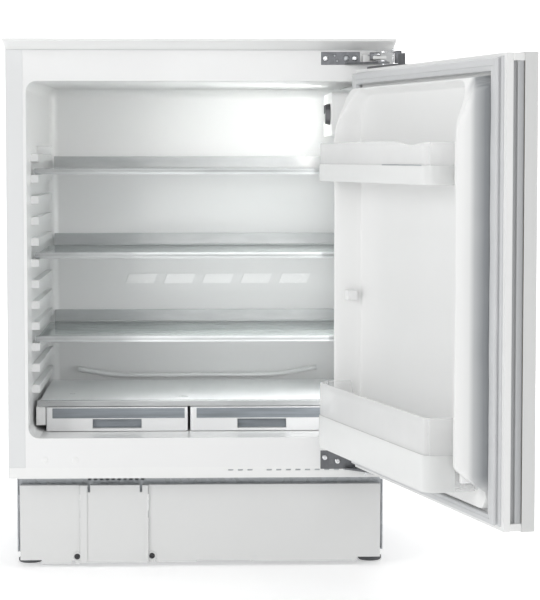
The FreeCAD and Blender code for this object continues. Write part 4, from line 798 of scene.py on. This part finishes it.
def door_bins():
    """Two bins hung on the dykes, each clear with a whiter band. The upper bin's rim dips by a bell curve near
    its free end, and a thin line runs along its band."""
    for level, body in (("upper", "upper_door_shelf"), ("lower", "lower_door_shelf")):
        low, high = shut_box(f"{level}_balcony")
        band_low, band_high = shut_box(f"{level}_balcony_trim")
        dip = 4.5 * MM if level == "upper" else 0.0

        def rim(x, y, low=low, high=high, dip=dip):
            bell = np.exp(-((x + 0.165) / 0.035) ** 2)
            wall_top = high[2] - dip * bell - dip * 0.4 * smooth(np.abs(x), 0.06, 0.2)
            back_top = low[2] + 24 * MM
            return back_top + (wall_top - back_top) * smooth(y, low[1] + 3 * MM, low[1] + 16 * MM)

        shape = swung(bin_shell(low, high, rim, 2.4 * MM))
        made = piece(f"{level}_bin", shape, body, FINISHES["balcony_clear"])
        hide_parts(f"{level}_balcony")
        shape = swung(band_shell(band_low, band_high, 1.4 * MM, band_low[1] + 3.5 * MM))
        made = piece(f"{level}_bin_band", shape, body, FINISHES["balcony_white"])
        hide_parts(f"{level}_balcony_trim")
    low, high = shut_box("upper_balcony_trim")
    line = rounded_block((-212 * MM, high[1] - 0.8 * MM, high[2] - 0.4 * MM),
                         (-60 * MM, high[1] - 0.1 * MM, high[2] + 0.8 * MM), 0.3 * MM)
    piece("upper_bin_line", swung(line), "upper_door_shelf", FINISHES["smoked_pane"])


# ---------------------------------------------------------------- hinges
def link(start, end, width, low, high):
    """A flat link between two pins: two half circles joined by straight sides, its edges eased."""
    start, end = np.asarray(start, float), np.asarray(end, float)
    along = end - start
    heading = math.atan2(along[1], along[0])
    half = np.linspace(-math.pi / 2, math.pi / 2, 13)

    def outline(radius):
        caps = [(end, heading + half), (start, heading + math.pi + half)]
        return np.concatenate([centre + radius * np.stack([np.cos(a), np.sin(a)], -1) for centre, a in caps])

    ease = 0.4 * MM
    full, eased = width / 2, width / 2 - ease
    steps = ((eased, low), (full, low + ease), (full, high - ease), (eased, high))
    return capped_rings(np.array([np.column_stack([outline(r), np.full(2 * len(half), z)]) for r, z in steps]))


def in_metres(section):
    """A section's millimetres as metres."""
    return [(radius * MM, height * MM) for radius, height in section]


def block_about(place, low, high, radius):
    """A rounded block given by its corners in millimetres from a place."""
    place = np.asarray(place, float)
    return rounded_block(place + np.array(low) * MM, place + np.array(high) * MM, radius * MM)


RIVET = [(2.6, -0.5), (2.6, 0.5), (1.6, 1.3)]
LOWER_RIVET = [(1.4, -1), (2.4, -0.4), (2.4, 0.8), (1.5, 0.8), (1.5, 7.5)]


def hinge_works():
    """The concealed hinges' links, cups and rivets beside the pins, top and bottom."""
    pin = PIN[:2]
    plate_low, _ = box("upper_hinge_plate")
    foot = plate_low[2] + 3.4 * MM
    root = np.array([plate_low[0] + 70 * MM, -9 * MM])
    knee = pin + np.array([15 * MM, 2 * MM])
    guide = root + [4 * MM, -9 * MM]
    bright = [
        link(root, pin, 9 * MM, foot, foot + 2 * MM),
        link(guide, pin + [-7 * MM, -3 * MM], 8 * MM, foot + 9 * MM, foot + 11.5 * MM),
        link(pin, knee, 10 * MM, foot + 12.5 * MM, foot + 15 * MM),
        turned((*knee, foot - 2 * MM), "z", in_metres([(1.6, 0), (1.6, 20)]), 16)]
    for place, rise in ((root, 2), (pin, 15), (knee, 18), (guide, 11.5)):
        bright.append(turned((*place, foot + rise * MM), "z", in_metres(RIVET), 20))
    piece("upper_hinge_links", join(bright), "cabinet", FINISHES["pin_steel"])
    pale = [block_about((root[0], 0, foot), (-7, -12, 0), (5, -1, 13), 1.2),
            block_about((*pin, foot), (-16, -4, 2.6), (4, 8, 8.4), 1.6)]
    piece("upper_hinge_cup", join(pale), "cabinet", FINISHES["button_white"])
    dark = [block_about((*knee, foot), (2.5, -9, -3), (12, 6, 16), 1.4),
            block_about((*pin, foot), (-20, 9, 2), (-4, 16, 14), 1.2)]
    piece("upper_hinge_stop", join(dark), "cabinet", FINISHES["hinge_steel"])

    low, _ = box("lower_hinge_plate")
    under = low[2]
    bright = [link(root, pin, 8 * MM, under - 4.5 * MM, under - 2.2 * MM),
              link(pin, knee, 9 * MM, under - 7.5 * MM, under - 5 * MM)]
    head = under - 7.6 * MM
    bright += [turned((*place, head), "z", in_metres(LOWER_RIVET), 20) for place in (root, pin, knee)]
    piece("lower_hinge_links", join(bright), "cabinet", FINISHES["pin_steel"])
    ribs = []
    for step in range(6):
        left, y = (240 + step * 3.4) * MM, (-7 - step * 6) * MM
        ribs.append(rounded_block((left, y - 1.4 * MM, under + 2.6 * MM),
                                  (left + 27 * MM, y + 1.4 * MM, under + 4.2 * MM), 0.7 * MM, 2))
    piece("lower_hinge_ribs", join(ribs), "cabinet", FINISHES["hinge_steel"])


# Screws, plugs and holes stand in the front; places and sizes in millimetres.
PLATE_SCREWS = ((194, 798), (239, 798), (194, 178), (214, 172))
PLINTH_SCREWS = ((-195, 16.5), (-77, 17))
BOSS_SECTION = [(4.6, 0.2), (7.4, 0.2), (7.4, -0.8), (6.8, -1.5), (5.4, -1.5), (4.6, -0.9)]
PLUG_SECTION = [(5.2, 0.2), (5.2, -0.2), (4.4, -0.6)]
RAIL_PLUGS = ((-242, 176), (-195, 176))
PLATE_HOLES = ((226, 798, 4.4), (208, 802, 1.5), (212, 794, 1.5))


def screws():
    """Domed cross-head screws in the plates, black ones in round bosses on the plinth."""
    bright = [screw_head((x * MM, 0.0, z * MM), "y", 3.9 * MM, -0.8 * MM) for x, z in PLATE_SCREWS]
    piece("plate_screw_heads", join(bright), "cabinet", FINISHES["pin_steel"])
    front = box("left_plinth_panel")[0][1]
    bosses, black = [], []
    for x, z in PLINTH_SCREWS:
        centre = (x * MM, front, z * MM)
        bosses.append(ring_of_rings(turned_rings(centre, "y", in_metres(BOSS_SECTION), 40)))
        black.append(screw_head((x * MM, front - 1.4 * MM, z * MM), "y", 4.2 * MM, -0.9 * MM))
    piece("plinth_bosses", join(bosses), "cabinet", FINISHES["plinth_white"])
    piece("plinth_screw_heads", join(black), "cabinet", FINISHES["screw_black"])


# ---------------------------------------------------------------- small pieces
def small_pieces():
    """Plugs in the rail and the hinge plate's holes, the drain gutter's ridge, patches on the back wall and
    the upper shelf's stop."""
    plugs = [turned((x * MM, 0.0, z * MM), "y", in_metres(PLUG_SECTION), 40) for x, z in RAIL_PLUGS]
    piece("rail_plugs", join(plugs), "cabinet", FINISHES["trim_white"])
    holes = [turned((x * MM, 0.0, z * MM), "y", in_metres([(r, 2.8), (r, 1.2), (r * 0.8, 0.8)]))
             for x, z, r in PLATE_HOLES]
    piece("hinge_hole_plugs", join(holes), "cabinet", FINISHES["rail_steel"])
    wall = 431 * MM
    route = [(-212 * MM, wall, 275 * MM), (-150 * MM, wall, 263.5 * MM),
             (135 * MM, wall, 263.5 * MM), (205 * MM, wall, 276 * MM)]
    gutter = tube(bent(route, 20 * MM), 4.5 * MM, (0, 1, 0))
    piece("drain_gutter", gutter, "cabinet", FINISHES["liner_white"])
    low, high, width, lean = 424.6, 441.4, 48.8, 6.8
    panels = []
    for step in range(5):
        left = -129.4 + 67.3 * step
        corners = np.array([(left, low), (left + width, low), (left + width + 7.0, high), (left + lean, high)])
        levels = [np.column_stack([corners[:, 0], np.full(4, y), corners[:, 1]]) for y in (438.6, 438.2, 438.0)]
        panels.append(capped_rings(np.array(levels) * MM))
    piece("back_wall_panels", join(panels), "cabinet", FINISHES["panel_white"])
    stop = rounded_block((-266 * MM, 180 * MM, 649 * MM), (-240 * MM, 200 * MM, 664 * MM), 2 * MM)
    piece("shelf_stop", stop, "cabinet", FINISHES["liner_white"])


def crisper_panes():
    """Smoke-grey window bands across the drawer fronts and dark panes at the back of the grips."""
    for side in ("left", "right"):
        low, high = box(f"{side}_crisper")
        front = low[1]
        middle, back, grip_half = (low[0] + high[0]) / 2, front + 9 * MM, 38.6 * MM
        window = rounded_block((low[0] + 10 * MM, front - 0.7 * MM, high[2] - 17.5 * MM),
                               (high[0] - 5 * MM, front + 0.6 * MM, high[2] - 1.5 * MM), 0.6 * MM)
        pane = rounded_block((middle - grip_half, back - 1.2 * MM, low[2] + 4.4 * MM),
                             (middle + grip_half, back + 0.4 * MM, low[2] + 18.6 * MM), 0.5 * MM)
        shape = join([window, pane])
        piece(f"{side}_crisper_panes", shape, f"{side}_drawer", FINISHES["smoked_pane"])


# ---------------------------------------------------------------- stage and lights
def stage():
    """A pale floor that bends up through a quarter circle behind into a backdrop, with a soft grain."""
    side, near, start, radius, top = 14, -12, 3, 1.5, 6
    across, run = np.linspace(-side, side, 29), np.linspace(near, start, 40)
    bend = np.linspace(0, math.pi / 2, 24)
    rise = np.linspace(radius + 0.2, top, 12)
    y = np.concatenate([run, start + radius * np.sin(bend[1:]), np.full(len(rise), start + radius)])
    z = np.concatenate([np.zeros(len(run)), radius - radius * np.cos(bend[1:]), rise])
    grid = np.stack(np.broadcast_arrays(across[None, :], y[:, None], z[:, None]), -1)
    mesh = bpy.data.meshes.new("floor")
    mesh.from_pydata(grid.reshape(-1, 3).tolist(), [], grid_faces(*grid.shape[:2]))
    mesh.shade_smooth()
    finish = Finish("floor_paper")
    grain = finish.noise(90.0, 4.0, 0.6)
    shader = finish.principled({
        "Base Color": finish.mix(finish.noise(1.5, 2.0), (0.90, 0.90, 0.90), (0.93, 0.93, 0.93)),
        "Roughness": 0.7 + grain * 0.2, "Normal": finish.bump(grain, 0.2 * MM, 0.2),
        "Emission Color": (1.0, 1.0, 1.0, 1.0), "Emission Strength": 0.35})
    mesh.materials.append(finish.surface(shader))
    floor = bpy.data.objects.new("floor", mesh)
    bpy.context.scene.collection.objects.link(floor)


def area_light(name, place, target, width, power, height, colour=(1.0, 1.0, 1.0)):
    """A soft rectangular light aimed at a point."""
    lamp = bpy.data.lights.new(name, "AREA")
    lamp.shape = "RECTANGLE"
    lamp.size = width
    lamp.size_y = height
    lamp.energy = power
    lamp.color = colour
    made = bpy.data.objects.new(name, lamp)
    place, target = np.array(place, float), np.array(target, float)
    x, y, z = place - target
    made.location = place
    made.rotation_euler = (math.atan2(math.hypot(x, y), z), 0.0, math.atan2(y, x) + math.pi / 2)
    bpy.context.scene.collection.objects.link(made)


# Name, place, target, width, power in watts, height.
LIGHTS = (
    ("key", (-2.3, -2.2, 1.5), (0.1, 0.0, 0.5), 1.2, 25.0, 1.2),
    ("fill", (0.25, -3.0, 1.15), (0.0, 0.4, 0.5), 0.7, 8.0, 0.7),
    ("top", (0.2, -0.2, 2.6), (0.0, 0.1, 0.4), 1.6, 6.0, 1.6),
    ("floor_wash", (0.0, 3.2, 2.6), (0.0, 3.3, 0.0), 3.0, 60.0, 3.0),
    ("floor_front", (1.6, -1.4, 2.4), (1.2, -1.2, 0.0), 1.6, 7.0, 1.6),
    ("side_wash", (0.20, 0.10, 0.48), (-0.25, 0.22, 0.44), 0.26, 0.52, 0.5),
    ("door_fill", (-1.7, -1.7, 0.30), (0.4, -0.4, 0.25), 0.6, 2.5, 0.6),
)
# Height and power of a wide, low light in each space of the cavity.
CAVITY_LIGHTS = ((0.70, 0.17), (0.557, 0.38), (0.424, 0.34), (0.31, 0.21))
ROOM = 0.4
CAMERA_PLACE, CAMERA_TURN, CAMERA_LENS = (-0.0122, -3.2529, 0.6497), (math.pi / 2 - 0.069, 0.0, -0.037), 126.1


def studio():
    """White room light, soft lights round the fridge, small ones in its cavity, its own lamp and the camera."""
    scene = bpy.context.scene
    world = bpy.data.worlds.new("room")
    world.use_nodes = True
    world.node_tree.nodes["Background"].inputs["Color"].default_value = (1.0, 1.0, 1.0, 1.0)
    world.node_tree.nodes["Background"].inputs["Strength"].default_value = ROOM
    scene.world = world
    scene.view_settings.view_transform = "Standard"
    for light in LIGHTS:
        area_light(*light)
    for level, power in CAVITY_LIGHTS:
        area_light(f"cavity_wash_{level}", (0.07, 0.07, level), (0.06, 0.44, level - 0.01), 0.36, power, 0.07)
    low, high = box("lamp_lens")
    middle_y, middle_z = (low[1] + high[1]) / 2, (low[2] + high[2]) / 2
    place, target = (low[0] - 3 * MM, middle_y, middle_z), (0.0, middle_y + 0.16, middle_z - 0.06)
    area_light("cabinet_lamp", place, target, 0.06, 0.6, 0.06, (1.0, 0.985, 0.96))

    camera = bpy.data.cameras.new("camera")
    camera.lens = CAMERA_LENS
    camera.clip_end = 40.0
    made = bpy.data.objects.new("camera", camera)
    made.location = CAMERA_PLACE
    made.rotation_euler = CAMERA_TURN
    scene.collection.objects.link(made)
    scene.camera = made


door_lining_piece()
door_seal()
door_edge()
door_lugs()
door_bins()
hinge_works()
screws()
small_pieces()
crisper_panes()
stage()
studio()
